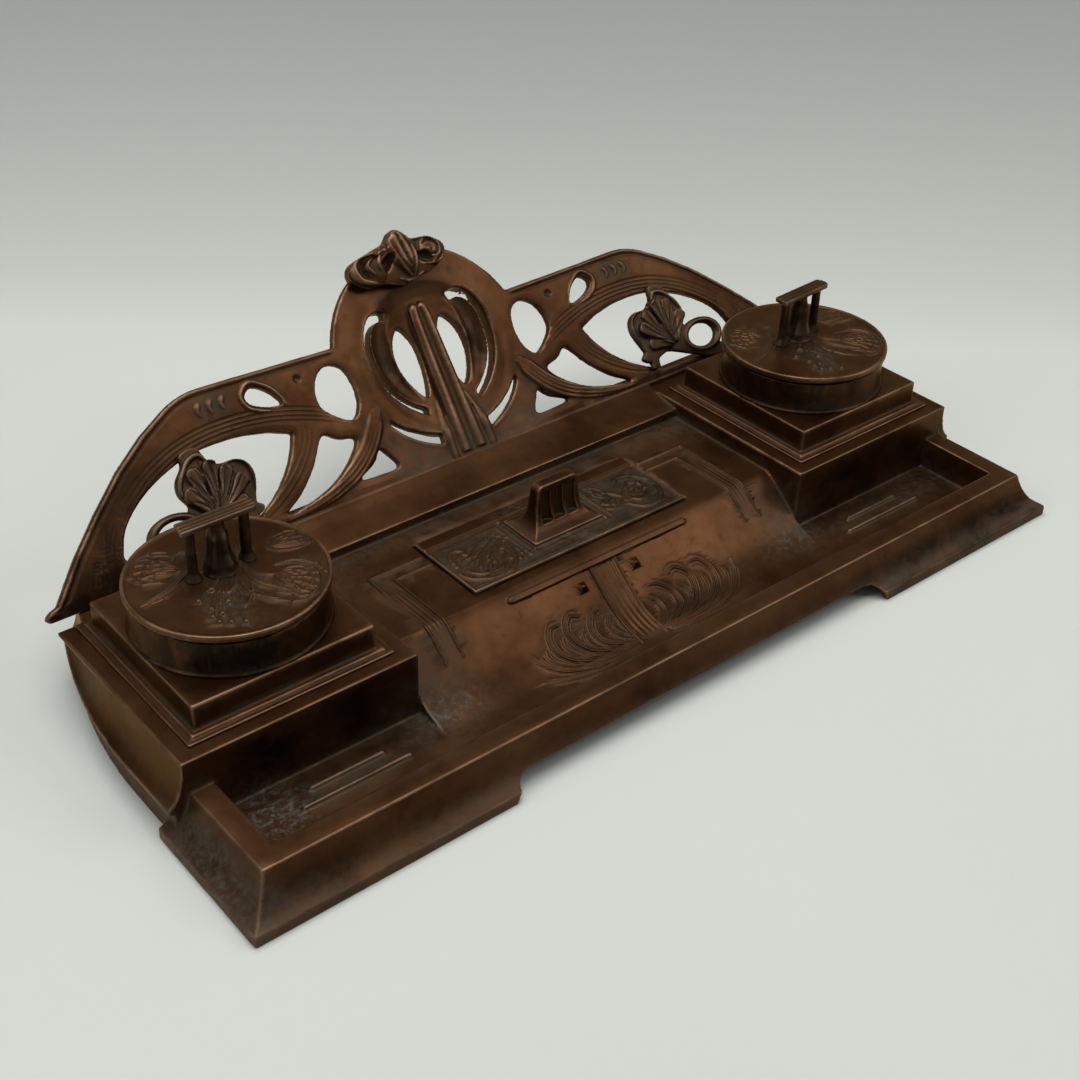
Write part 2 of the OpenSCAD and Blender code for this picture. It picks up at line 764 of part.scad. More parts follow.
module nib_knob_screw() {
    color(steel)
    translate([0, nib_mid_d, nib_low]) {
        cylinder(d = screw_d, h = nib_t + screw_grip);
        translate([0, 0, -head_h]) cylinder(d = head_d, h = head_h);
    }
}

// Frame whose X and Y lie in the gallery's leaning front face, with Z out of it
module gallery_frame() {
    translate([0, gallery_d, slab_h]) rotate([90 - lean, 0, 0]) children();
}

// Puts a flat drawing onto the gallery's front face, from low to high off that face
module on_gallery(low, high) {
    gallery_frame() translate([0, 0, low]) linear_extrude(high - low) children();
}

// The wings' points are drawn for this half width and height, with this crest radius
drawn_half = 182;
drawn_h = 60.4;
drawn_crest = 45;
wing_stretch = (gallery_w / 2 - crest_r) / (drawn_half - drawn_crest);
rib_top = crest_c + 20;
rib_merge = 0.3;

function wing(p) =
    [p[0] <= drawn_crest ? p[0] * crest_r / drawn_crest : crest_r + (p[0] - drawn_crest) * wing_stretch,
     p[1] * wing_h / drawn_h];

function wings(list) = [for (p = list) wing(p)];

module wing_shape() {
    polygon(concat(wings([[0, 0], [182, 0]]),
                   wings(bend([183.4, 2.2], [182, 4.6], [178, 5.2], 3)),
                   wings([[166, 18.5], [154, 30], [140, 42], [127, 51]]),
                   wings(bend([116, 57], [109, 60.6], [101, 60.6], 5)),
                   wings([[40, 59], [0, 59]])));
}

module wing_holes() {
    // Large outer opening
    polygon(wings(concat(sweep([[80, 36.8], [94, 39.2], [111, 38.9], [126, 34.5], [137.5, 28.3],
                                [145.5, 21], [149.5, 13]], 4),
                         [[148, 7], [142, 4.6], [104, 5.4]],
                         bend([94, 10], [78, 18], [71.5, 33.5], 6))));
    // Opening between the two sweeping bands
    polygon(wings(smooth([[60.5, 28.6], [54, 25.4], [47.5, 23.2], [52.5, 17], [62.5, 10.5],
                          [75, 6.8], [86, 5.6], [77.5, 11], [68.5, 19]], 4)));
    // Tall oval beside the crest
    polygon(wings(smooth([[47.5, 53.2], [53.5, 50], [56.5, 43], [55, 37], [46, 30.5], [40.8, 35],
                          [39.5, 43], [41.5, 50.5]], 4)));
    // Drop-shaped opening near the shoulder
    polygon(wings(smooth([[70.5, 45.5], [74.5, 51.5], [80, 54.5], [84, 52], [82.5, 48.5], [76, 45.6]],
                         4)));
    // Small triangle at the foot
    polygon(wings(smooth([[34.5, 7.5], [37, 13.3], [39.7, 16.2], [44, 12], [52, 8], [43, 7]], 4)));
}

module crest_holes() {
    // Almond openings beside the ribs
    polygon(smooth([[10, 58.3], [15, 54], [17, 45.5], [14.8, 36], [9.4, 28.7], [6.2, 38],
                    [5.8, 50]], 4));
    // Hooked slots
    slot = bend([14.6, 66], [24.4, 69.5], [28.6, 56], 6);
    slot_low = bend([28.6, 56], [32.6, 34], [12.4, 21.6], 10);
    polygon(concat(slot, slot_low, [[12.2, 24.6]],
                   bend([12.6, 24.8], [29.4, 36], [25.8, 55.6], 10),
                   bend([25.6, 56], [22.4, 65], [16, 62.4], 6)));
    // Lower crescents
    polygon(concat(bend([33, 27.5], [29, 15.5], [12, 9.2], 8), [[11.6, 13.2]],
                   bend([12.4, 13.4], [25, 17], [33, 27.5], 8)));
}

module gallery() {
    dish_sphere = (dish_r * dish_r + dish_depth * dish_depth) / (2 * dish_depth);
    lug_end = gallery_d + lug_back + head_d;
    color(bronze)
    difference() {
        union() {
            difference() {
                union() {
                    intersection() {
                        on_gallery(-gallery_t, 0)
                            union() {
                                both_sides() wing_shape();
                                translate([0, crest_c]) circle(r = crest_r, $fn = 128);
                            }
                        above_deck(0);
                    }
                    // Pad behind the crest, which keeps its thickness under the hollow
                    on_gallery(-gallery_t - dish_depth, -gallery_t / 2)
                        translate([0, crest_c]) circle(r = dish_r + gallery_t / 2, $fn = 128);
                }
                // Round hollow in the front of the crest
                gallery_frame()
                    translate([0, crest_c, dish_sphere - dish_depth])
                        sphere(r = dish_sphere, $fn = 256);
                on_gallery(-2 * dish_depth - gallery_t, over) {
                    both_sides() wing_holes();
                    both_sides() crest_holes();
                }
            }
            // Two middle ribs of the crest, grown together where they meet
            intersection() {
                gallery_frame()
                    for (k = [-1, 1])
                        translate([k * (rib_w / 2 - rib_merge), 0, -rib_w / 4]) {
                            rotate([-90, 0, 0]) cylinder(d = rib_w, h = rib_top);
                            translate([0, rib_top, 0]) sphere(d = rib_w);
                        }
                above_deck(cove_h);
            }
            // Lugs behind the foot, for the screws
            both_sides()
                for (x = [lug_in_x, lug_out_x])
                    along_x(x - head_d, x + head_d)
                        polygon([[gallery_d + over, slab_h], [lug_end, slab_h],
                                 [lug_end - lug_chamfer, slab_h + lug_low_h],
                                 [gallery_d + over + lug_h * tan(lean), slab_h + lug_h]]);
        }
        gallery_screw_places()
            cylinder(d = screw_d + 2 * pin_gap, h = wall + lug_grip + screw_end_gap);
    }
}

// Everything higher than a given height above the deck
module above_deck(height) {
    translate([-base_w, 0, slab_h + height]) cube([2 * base_w, 2 * overall_d, gallery_w]);
}

// Places of the gallery's screws, at the underside of the back deck
module gallery_screw_places() {
    both_sides()
        for (x = [lug_in_x, lug_out_x])
            translate([x, gallery_d + lug_back, slab_h - wall]) children();
}

module gallery_screws() {
    color(steel)
    gallery_screw_places() {
        cylinder(d = screw_d, h = wall + lug_grip);
        translate([0, 0, -head_h]) cylinder(d = head_d, h = head_h);
    }
}

// Folded blossom on top of the crest
module crest_boss() {
    low = boss_top - boss_l;
    half = boss_w / 2;
    color(dark_bronze)
    on_gallery(0, boss_t)
        translate([-boss_left, 0])
            polygon(smooth([[boss_left - 1, boss_top], [half * 0.4, boss_top - 5],
                            [half * 0.7, boss_top - 6], [half - 1, boss_top - 9.5],
                            [half, boss_top - 14], [half - 5, low + 3.5], [half * 0.4, low + 2],
                            [0, low], [-half * 0.4, low + 2.5], [-half + 5, low + 3],
                            [-half, boss_top - 14], [-half + 2, boss_top - 8.5],
                            [-half * 0.5, boss_top - 6], [-half * 0.1, boss_top - 4]], 4));
}

// A fluted blossom with a curled edge, a stem and a scroll ring
module blossom(side) {
    root = wing([113, 12]);
    ring_c = wing([129.2, 13.2]);
    flutes = [[62, 17], [82, 22], [101, 23], [120, 22], [139, 21], [158, 15]];
    flute_half = 2.7;
    color(dark_bronze)
    mirror([side < 0 ? 1 : 0, 0, 0]) {
        on_gallery(0, blossom_t)
            difference() {
                union() {
                    // Fan, from its root up to the band above the opening
                    polygon(wings(smooth([[99, 10], [95, 18], [93, 24.6], [94.5, 29.5], [98.5, 32],
                                          [104, 32], [108.5, 34.5], [110.5, 40.5], [117.5, 39.8],
                                          [118.5, 35.5], [122.5, 31], [123.6, 26], [121.5, 21],
                                          [124, 17], [120, 12.5], [108, 11.5]], 4)));
                    // Stem that lies on the plate at its right end
                    polygon(wings(smooth([[94, 12.5], [104, 16.5], [116, 12], [128, 8.5], [140, 7],
                                          [146.5, 6], [146.5, 2.8], [132, 2.4], [121, 6.6],
                                          [108, 11.5], [98, 9.4]], 4)));
                    // Foot of the fan, down to the lower band
                    polygon(wings([[98, 13], [97, 6.5], [101.5, 6.2], [102.5, 13]]));
                    translate(ring_c) scale([ring_stretch, 1]) circle(r = ring_r);
                }
                translate(ring_c) scale([ring_stretch, 1]) circle(r = ring_r - ring_w);
                // Slot inside the curled edge
                polygon(wings(smooth([[118, 25], [114.8, 22.5], [114.6, 17.5], [116.2, 16],
                                      [118.8, 20.5]], 3)));
            }
        // Flutes that spread out from the root, the even ones higher
        for (k = [0:len(flutes) - 1])
            on_gallery(0, flute_rise - k % 2)
                translate(root) rotate(flutes[k][0])
                    let (reach = flutes[k][1])
                        polygon(smooth([[2, 0], [reach * 0.55, -0.6 * flute_half],
                                        [reach - 2, -flute_half], [reach, 0],
                                        [reach - 2, flute_half], [reach * 0.55, 0.6 * flute_half]], 3));
    }
}

placed() base_casting();
placed() plinth(-1);  // plinth_left
placed() plinth(1);  // plinth_right
placed() collar(-1);  // collar_left
placed() collar(1);  // collar_right
placed() gallery();
placed() crest_boss();
placed() blossom(-1);  // blossom_left
placed() blossom(1);  // blossom_right
placed() gallery_screws();
placed() plinth_screws();
placed() nib_well();
placed() liner(-1);  // liner_left
placed() liner(1);  // liner_right
placed() lid(-1);  // lid_left
placed() lid(1);  // lid_right
placed() handle(-1);  // handle_left
placed() handle(1);  // handle_right
placed() lid_rivets(-1);  // lid_rivets_left
placed() lid_rivets(1);  // lid_rivets_right
placed() nib_lid();
placed() nib_knob();
placed() nib_knob_screw();
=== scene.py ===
import math

import bmesh
import bpy
import numpy as np
from mathutils import Matrix, Vector, kdtree


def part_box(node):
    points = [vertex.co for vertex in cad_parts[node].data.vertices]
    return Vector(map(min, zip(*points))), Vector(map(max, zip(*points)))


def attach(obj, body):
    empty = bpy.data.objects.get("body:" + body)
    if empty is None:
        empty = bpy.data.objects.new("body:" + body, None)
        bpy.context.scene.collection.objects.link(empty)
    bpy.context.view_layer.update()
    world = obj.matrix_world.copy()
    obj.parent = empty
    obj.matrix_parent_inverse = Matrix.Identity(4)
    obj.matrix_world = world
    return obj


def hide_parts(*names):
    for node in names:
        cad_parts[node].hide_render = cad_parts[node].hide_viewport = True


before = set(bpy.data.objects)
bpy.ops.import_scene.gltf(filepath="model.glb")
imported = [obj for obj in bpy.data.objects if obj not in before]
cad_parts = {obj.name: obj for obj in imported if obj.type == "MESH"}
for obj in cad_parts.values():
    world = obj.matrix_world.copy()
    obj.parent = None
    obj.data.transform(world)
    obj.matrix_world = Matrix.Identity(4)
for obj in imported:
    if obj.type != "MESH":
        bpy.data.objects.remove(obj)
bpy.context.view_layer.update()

MM = 0.001


def box_mm(node):
    low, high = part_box(node)
    return np.array(low) / MM, np.array(high) / MM


FRONT_Y = box_mm("base_casting")[0][1]
LID_CENTRE = {side: (box_mm("lid_" + side)[0] + box_mm("lid_" + side)[1]) / 2
              for side in ("left", "right")}
LID_RIM = 0.5
LID_TOP = box_mm("lid_left")[1][2] - LID_RIM
LID_TURN = {"left": 0.0, "right": math.radians(4)}
NIB_LOW, NIB_HIGH = box_mm("nib_lid")
NIB_MIDDLE_Y = (NIB_LOW[1] + NIB_HIGH[1]) / 2

# Gallery: where its front face meets the deck, and how far it leans
GALLERY_Y = FRONT_Y + 140.2
DECK_Z = 30.4
LEAN = math.radians(38.3)
GALLERY_OUT = np.array([0, -math.cos(LEAN), math.sin(LEAN)])
CREST_S, CREST_R = 43.3, 45

# Tray, roll and platform, as depths from the front edge and heights
FLOOR_Z, PLATFORM_Z = 5.0, 23.6
ROLL_START, ROLL_END = 35.7, 69.7
LEDGE_D = 123.1

# A stroke's width at its tips, and its crease, as shares of the stroke
TIP = 0.25
CREASE_WIDTH, CREASE_DEPTH = 0.3, 0.55
# Scallops of a petal's edge as (share of the radius, radians a step), and its fan of lines:
# degrees to either side, and its reach and sway as shares of the radius
SCALLOPS = [(0.06, 1.35), (0.03, 2.9)]
FAN_HALF, FAN_REACH, FAN_SWAY = 74, 0.86, 0.12


# Curves and relief

def smooth_line(points, steps=6):
    """An open smooth curve through the given points."""
    p = np.array(points, float)
    p = np.vstack([2 * p[0] - p[1], p, 2 * p[-1] - p[-2]])
    t = np.linspace(0, 1, steps, endpoint=False)[:, None]
    out = []
    for a, b, c, d in zip(p[:-3], p[1:-2], p[2:-1], p[3:]):
        out.append(0.5 * (2 * b + (c - a) * t + (2 * a - 5 * b + 4 * c - d) * t ** 2
                          + (3 * b - a - 3 * c + d) * t ** 3))
    return np.vstack(out + [p[-2][None]])


def stroke(u, v, points, width, height, taper=(0.3, 0.3), flat=0.0):
    """Height over (u, v) of a stroke that thins out over these shares of its length; flat is
    the share of its width that is level."""
    line = smooth_line(points) if len(points) > 2 else np.array(points, float)
    h = np.zeros(len(u))
    low, high = line.min(0) - width, line.max(0) + width
    near = np.flatnonzero((u > low[0]) & (u < high[0]) & (v > low[1]) & (v < high[1]))
    if not len(near):
        return h
    a, b = line[:-1], line[1:]
    d = b - a
    length = np.hypot(d[:, 0], d[:, 1]) + 1e-9
    start = np.concatenate([[0], np.cumsum(length)[:-1]])
    total = length.sum()
    best = np.full(len(near), 9.0)
    along = np.zeros(len(near))
    pu, pv = u[near], v[near]
    for k in range(len(a)):
        t = ((pu - a[k, 0]) * d[k, 0] + (pv - a[k, 1]) * d[k, 1]) / length[k] ** 2
        t = np.clip(t, 0, 1)
        gap = np.hypot(pu - a[k, 0] - t * d[k, 0], pv - a[k, 1] - t * d[k, 1])
        s = (start[k] + t * length[k]) / total
        thin = np.ones(len(s))
        for share, from_end in zip(taper, (s, 1 - s)):
            if share > 0:
                thin = np.minimum(thin, TIP + (1 - TIP) * np.sqrt((from_end / share).clip(0, 1)))
        rel = gap / (width / 2 * thin)
        closer = rel < best
        best[closer] = rel[closer]
        along[closer] = thin[closer]
    edge = np.clip((1 - best) / (1 - flat), 0, 1)
    h[near] = height * along * np.sqrt(edge * (2 - edge))
    return h


def offset_line(points, shift):
    """A smooth line moved sideways by shift."""
    line = smooth_line(points, 4)
    along = np.gradient(line, axis=0)
    along /= np.linalg.norm(along, axis=1)[:, None]
    return [tuple(p) for p in (line + shift * np.stack([-along[:, 1], along[:, 0]], 1))[::3]]


def bump(distance, radius, height):
    """A round swelling of the given radius."""
    return height * np.sqrt(np.clip(1 - (distance / radius) ** 2, 0, 1))


def ridge(distance, at, width):
    """1 at the given distance, and fading to both sides over about width."""
    return np.exp(-((distance - at) / width) ** 2)


def spot(u, v, middle, reach):
    """1 at a place, and fading over its reach along u and v."""
    return np.exp(-((u - middle[0]) / reach[0]) ** 2 - ((v - middle[1]) / reach[1]) ** 2)


def evenly(amount):
    """The same amount at every point of a piece."""
    return lambda co: np.full(len(co), amount)


def vein(u, v, points, width, height, taper=(0.3, 0.3)):
    """A stroke with a fine crease along its middle."""
    return (stroke(u, v, points, width, height, taper, flat=0.2)
            - stroke(u, v, points, width * CREASE_WIDTH, height * CREASE_DEPTH, taper))


def raised(u, v, strokes):
    """The highest of several veins."""
    h = np.zeros(len(u))
    for s in strokes:
        h = np.maximum(h, vein(u, v, *s))
    return h


def petal_lines(centre, radii, turn, count):
    """Lines that fan out from a petal's root to its scalloped edge; turn points at the root."""
    def place(a, b):
        return (centre[0] + a * math.cos(turn) - b * math.sin(turn),
                centre[1] + a * math.sin(turn) + b * math.cos(turn))

    edge_steps, edge_start, edge_sweep = 24, 60, 240
    edge = []
    for step in range(edge_steps + 1):
        angle = math.radians(edge_start + edge_sweep * step / edge_steps)
        size = 1 + sum(deep * math.sin(step * rate) for deep, rate in SCALLOPS)
        edge.append(place(size * radii[0] * math.cos(angle), size * radii[1] * math.sin(angle)))
    lines = [edge]
    for k in range(count):
        angle = math.radians(180 + FAN_HALF * (2 * (k + 0.5) / count - 1))
        a, b = FAN_REACH * radii[0] * math.cos(angle), FAN_REACH * radii[1] * math.sin(angle)
        sway = FAN_SWAY * radii[1] * (-1) ** k
        lines.append([place(0.95 * radii[0], 0.05 * b), place(0.35 * radii[0], 0.42 * b + sway),
                      place((0.2 * radii[0] + a) / 2, 0.8 * b - sway), place(a, b)])
    return lines


def ease(x, low, high):
    """0 below low, 1 above high, and smooth between."""
    t = np.clip((x - low) / (high - low), 0, 1)
    return t * t * (3 - 2 * t)


def wander(co, seed, wavelength, amplitude, count=9):
    """Slow smooth unevenness over the points co, the same each run."""
    rng = np.random.default_rng(seed)
    shortest, longest = 0.6, 1.7
    total = np.zeros(len(co))
    for _ in range(count):
        direction = rng.normal(size=3)
        direction /= np.linalg.norm(direction)
        k = 2 * math.pi / (wavelength * rng.uniform(shortest, longest))
        total += np.sin(co @ direction * k + rng.uniform(0, 2 * math.pi))
    return amplitude * total / math.sqrt(count)


# Meshes

NOTHING = evenly(0.0)
WAVELENGTH = 22
# Height of relief that counts in full, and how far and how strongly patina spreads beside it
RELIEF_FULL, PATINA_PASSES, PATINA_GAIN = 0.12, 10, 1.5
# Share of the wear with its painted edge highlight, and of the green film, that relief keeps off
RELIEF_WEAR, RELIEF_GREEN = 0.75, 0.7
# How far in mm a point stands out or lies in before it is worn (with painted edge highlight),
# dirty or hollow, and the span over which that grows
WEAR_FROM, WEAR_SPAN = 0.05, 0.15
DIRT_FROM, DIRT_SPAN = 0.008, 0.08
DEEP_FROM, DEEP_SPAN = 0.05, 0.8
# Reach in mm of a fine edge, its passes, and how much wider the hollows are read
FINE_MM, FINE_PASSES, WIDER = 0.9, 3, 6


class Cast:
    """A piece that is remeshed from a CAD node and then given its relief."""

    def __init__(self, node, voxel, smooth, slot="bronze", body="base"):
        self.node, self.body, self.slot = node, body, slot
        self.voxel = voxel * 1
        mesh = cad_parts[node].data.copy()
        self.obj = bpy.data.objects.new("cast_" + node.removesuffix("_casting"), mesh)
        bpy.context.scene.collection.objects.link(self.obj)
        self.apply("REMESH", mode="VOXEL", voxel_size=self.voxel * MM)
        # Back onto the CAD surface, which keeps the edges crisp
        self.apply("SHRINKWRAP", target=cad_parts[node],
                   wrap_method="NEAREST_SURFACEPOINT")
        self.read()
        self.co = self.spread(self.co, smooth)
        self.ornament(np.zeros(len(self.co)))

    def apply(self, kind, **settings):
        """Adds a modifier, and keeps its result as the mesh."""
        modifier = self.obj.modifiers.new(kind.lower(), kind)
        for key, value in settings.items():
            setattr(modifier, key, value)
        graph = bpy.context.evaluated_depsgraph_get()
        result = bpy.data.meshes.new_from_object(self.obj.evaluated_get(graph),
                                                 preserve_all_data_layers=True, depsgraph=graph)
        self.obj.modifiers.clear()
        old = self.obj.data
        self.obj.data = result
        bpy.data.meshes.remove(old)

    def read(self):
        mesh = self.obj.data
        count = len(mesh.vertices)
        flat = np.zeros(count * 3)
        mesh.vertices.foreach_get("co", flat)
        self.co = flat.reshape(-1, 3) / MM
        pairs = np.zeros(len(mesh.edges) * 2, np.int64)
        mesh.edges.foreach_get("vertices", pairs)
        self.a, self.b = pairs[0::2], pairs[1::2]
        self.degree = (np.bincount(self.a, minlength=count)
                       + np.bincount(self.b, minlength=count)).clip(1)

    def write(self):
        mesh = self.obj.data
        mesh.vertices.foreach_set("co", (self.co * MM).ravel())
        mesh.update()

    def normals(self):
        self.write()
        flat = np.zeros(len(self.co) * 3)
        self.obj.data.vertices.foreach_get("normal", flat)
        return flat.reshape(-1, 3)

    def spread(self, values, passes, mask=None):
        """Averages values halfway over neighbouring points, passes times."""
        values = values.copy()
        columns = values if values.ndim == 2 else values[:, None]
        count = len(columns)
        for _ in range(passes):
            for c in range(columns.shape[1]):
                col = columns[:, c]
                total = (np.bincount(self.a, col[self.b], count)
                         + np.bincount(self.b, col[self.a], count))
                new = col + 0.5 * (total / self.degree - col)
                columns[:, c] = new if mask is None else np.where(mask, new, col)
        return values

    def refine(self, choose):
        """Splits the faces whose middles are chosen into smaller ones."""
        self.write()
        mesh = self.obj.data
        centre, normal = np.zeros((2, len(mesh.polygons) * 3))
        mesh.polygons.foreach_get("center", centre)
        mesh.polygons.foreach_get("normal", normal)
        pick = choose(centre.reshape(-1, 3) / MM, normal.reshape(-1, 3))
        work = bmesh.new()
        work.from_mesh(mesh)
        work.faces.ensure_lookup_table()
        edges = {e for i in np.flatnonzero(pick) for e in work.faces[int(i)].edges}
        bmesh.ops.subdivide_edges(work, edges=list(edges), cuts=1, use_grid_fill=True)
        work.to_mesh(mesh)
        work.free()
        self.read()

    def ornament(self, h, share=1.0):
        """Notes where the relief h is: less wear and painted edge highlight on it, and patina on
        and beside it.
        """
        self.calm = np.clip(np.abs(h) / RELIEF_FULL, 0, 1)
        passes = PATINA_PASSES if h.any() else 0
        self.green = share * np.clip(PATINA_GAIN * self.spread(self.calm, passes), 0, 1)

    def attribute(self, name, values):
        mesh = self.obj.data
        layer = mesh.attributes.get(name) or mesh.attributes.new(name, "FLOAT", "POINT")
        layer.data.foreach_set("value", values.astype(np.float32))

    def finish(self, material, faces, seed, unevenness=0.05, wear_and_highlight=1.0, bloom=NOTHING,
               green=NOTHING, darkening=NOTHING):
        """Unevenness, notes of wear with painted edge highlight, of dirt and of darkening that is
        mostly painted shade, fewer faces, and the piece's place in the frame.
        """
        normal = self.normals()
        self.co += normal * wander(self.co, seed, WAVELENGTH, unevenness)[:, None]
        normal = self.normals()
        passes = max(2, round((FINE_MM / self.voxel) ** 2 * FINE_PASSES))
        fine = self.spread(self.co, passes)
        edge = ((self.co - fine) * normal).sum(1)
        wide = self.spread(fine, passes * WIDER)
        deep = ((wide - self.co) * normal).sum(1)
        worn_and_highlight = np.clip((edge * wear_and_highlight - WEAR_FROM) / WEAR_SPAN, 0, 1)
        self.attribute("wear_and_highlight", worn_and_highlight * (1 - RELIEF_WEAR * self.calm))
        self.attribute("dirt", np.clip((-edge - DIRT_FROM) / DIRT_SPAN, 0, 1))
        self.attribute("deep", np.clip((deep - DEEP_FROM) / DEEP_SPAN, 0, 1))
        self.attribute("bloom", bloom(self.co))
        film = np.maximum(self.green, green(self.co))
        self.attribute("green", film * (1 - RELIEF_GREEN * self.calm))
        self.attribute("darkening", darkening(self.co))
        triangles = sum(len(p.vertices) - 2 for p in self.obj.data.polygons)
        if triangles > faces:
            self.apply("DECIMATE", ratio=faces / triangles)
        mesh = self.obj.data
        mesh.polygons.foreach_set("use_smooth", np.ones(len(mesh.polygons), bool))
        mesh.materials.clear()
        mesh.materials.append(material)
        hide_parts(self.node)
        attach(self.obj, self.body)
        return self.obj


# Materials

class Shader:
    """A material whose nodes are added one by one."""

    def __init__(self, name):
        self.material = bpy.data.materials.new(name)
        self.material.use_nodes = True
        self.tree = self.material.node_tree
        self.tree.nodes.clear()
        self.where = self.add("ShaderNodeTexCoord").outputs["Object"]

    def add(self, kind, inputs=None, **settings):
        node = self.tree.nodes.new(kind)
        for key, value in settings.items():
            setattr(node, key, value)
        for key, value in (inputs or {}).items():
            if isinstance(value, bpy.types.NodeSocket):
                self.tree.links.new(value, node.inputs[key])
            else:
                node.inputs[key].default_value = value
        return node

    def noise(self, size_mm, detail=3.0, rough=0.55, distortion=0.0):
        """Noise whose features are about size_mm across."""
        return self.add("ShaderNodeTexNoise", {
            "Vector": self.where, "Scale": 1 / (size_mm * MM), "Detail": detail,
            "Roughness": rough, "Distortion": distortion}).outputs["Fac"]

    def ramp(self, value, low, high):
        """0 below low and 1 above high."""
        return self.add("ShaderNodeMapRange", {
            "Value": value, "From Min": low, "From Max": high}, clamp=True).outputs["Result"]

    def math(self, operation, a, b=0.0, clamp=False):
        return self.add("ShaderNodeMath", {0: a, 1: b}, operation=operation,
                        use_clamp=clamp).outputs[0]

    def patchy(self, value, size_mm, low, high, rough, detail=4.0, distortion=0.0):
        """The value, kept only in patches of noise about size_mm across."""
        patches = self.ramp(self.noise(size_mm, detail, rough, distortion), low, high)
        return self.math("MULTIPLY", value, patches, True)

    def bump(self, height, strength, depth_mm):
        return self.add("ShaderNodeBump", {"Height": height, "Strength": strength,
                                           "Distance": depth_mm * MM}).outputs["Normal"]

    def mix(self, factor, a, b):
        node = self.add("ShaderNodeMix", data_type="RGBA")
        for key, value in (("Factor", factor), ("A", a), ("B", b)):
            socket = next(s for s in node.inputs
                          if s.name == key and (s.type == "RGBA" or key == "Factor"))
            if isinstance(value, bpy.types.NodeSocket):
                self.tree.links.new(value, socket)
            else:
                socket.default_value = value
        return next(s for s in node.outputs if s.type == "RGBA")

    def note(self, name):
        """A value that the mesh holds at each point."""
        return self.add("ShaderNodeAttribute", attribute_name=name).outputs["Fac"]

    def close(self, **inputs):
        names = {key.replace("_", " "): value for key, value in inputs.items()}
        surface = self.add("ShaderNodeBsdfPrincipled", names)
        self.add("ShaderNodeOutputMaterial", {"Surface": surface.outputs[0]})
        return self.material


METALLIC = 0.82
# Near-black for painted shade, and for the darker right panel of the nib lid
NEAR_BLACK = (0.006, 0.005, 0.004, 1)
VERDIGRIS = (0.040, 0.037, 0.027, 1)
SPECK_DARK, SPECK_SHARE = 0.45, 0.45
PATINA_SHARE, FILM_SHARE, DIRT_SHARE = 0.85, 0.66, 0.7
ROUGH, ROUGH_SPECKS, ROUGH_MATT = 0.30, 0.16, 0.22


def bronze(name, deep, brown, worn_and_highlight, patina, dust):
    """Brown patina over bronze: cloudy browns, pale worn edges that also serve as painted
    highlight, grey-green recesses, near-black painted shade.
    """
    s = Shader(name)
    cloud = s.ramp(s.noise(34, 4, 0.6, 0.3), 0.36, 0.66)
    speck = s.noise(4.5, 4, 0.62)
    grain = s.noise(0.9, 3, 0.6)
    colour = s.mix(cloud, deep, brown)
    colour = s.mix(s.math("MULTIPLY", s.ramp(speck, 0.58, 0.74), SPECK_SHARE), colour,
                   tuple(SPECK_DARK * c for c in deep[:3]) + (1,))
    # Pale worn edges, partly worn metal and partly painted edge highlight
    colour = s.mix(s.patchy(s.note("wear_and_highlight"), 11, 0.24, 0.60, 0.6), colour, worn_and_highlight)
    hollow = s.math("ADD", s.math("MULTIPLY", s.note("dirt"), DIRT_SHARE), s.note("deep"), True)
    dull = s.patchy(hollow, 9, 0.34, 0.62, 0.65, 5)
    dull = s.math("MULTIPLY", dull, PATINA_SHARE, True)
    colour = s.mix(dull, colour, patina)
    # Painted shade: near-black in patches where the darkening note is set
    colour = s.mix(s.patchy(s.note("darkening"), 13, 0.36, 0.56, 0.6, 4, 0.6), colour, NEAR_BLACK)
    film = s.patchy(s.note("green"), 7, 0.30, 0.62, 0.68, 5, 0.4)
    film = s.math("MULTIPLY", film, FILM_SHARE, True)
    colour = s.mix(film, colour, VERDIGRIS)
    powder = s.patchy(s.note("bloom"), 2.6, 0.46, 0.66, 0.75, 6, 0.3)
    colour = s.mix(powder, colour, dust)
    matt = s.math("MAXIMUM", s.math("MAXIMUM", dull, film), powder)
    rough = s.math("ADD", s.math("MULTIPLY", speck, ROUGH_SPECKS), ROUGH)
    rough = s.math("ADD", rough, s.math("MULTIPLY", matt, ROUGH_MATT), True)
    metal = s.math("SUBTRACT", METALLIC, s.math("MULTIPLY", matt, METALLIC), True)
    height = s.math("ADD", s.math("MULTIPLY", grain, 0.5), s.math("MULTIPLY", speck, 0.9))
    return s.close(Base_Color=colour, Roughness=rough, Metallic=metal,
                   Normal=s.bump(height, 0.16, 0.18), Specular_IOR_Level=0.30,
                   Specular_Tint=(1.0, 0.74, 0.52, 1))


def plain_metal(name, dark, light, metallic, rough):
    """Dull sheet brass or steel, with drawn marks."""
    s = Shader(name)
    marks = s.noise(1.6, 4, 0.6, 1.5)
    colour = s.mix(s.ramp(marks, 0.3, 0.7), dark, light)
    roughness = s.math("ADD", s.math("MULTIPLY", s.noise(6, 4, 0.6), 0.25), rough)
    return s.close(Base_Color=colour, Roughness=roughness, Normal=s.bump(marks, 0.2, 0.08),
                   Metallic=metallic)


def clear_glass(name):
    """Pressed glass with a faint wave in it."""
    s = Shader(name)
    smear = s.math("ADD", s.math("MULTIPLY", s.noise(7, 4, 0.6), 0.12), 0.02)
    return s.close(Base_Color=(0.86, 0.93, 0.91, 1), Roughness=smear,
                   Normal=s.bump(s.noise(12, 2, 0.5), 0.25, 0.3), Transmission_Weight=1.0,
                   IOR=1.5)
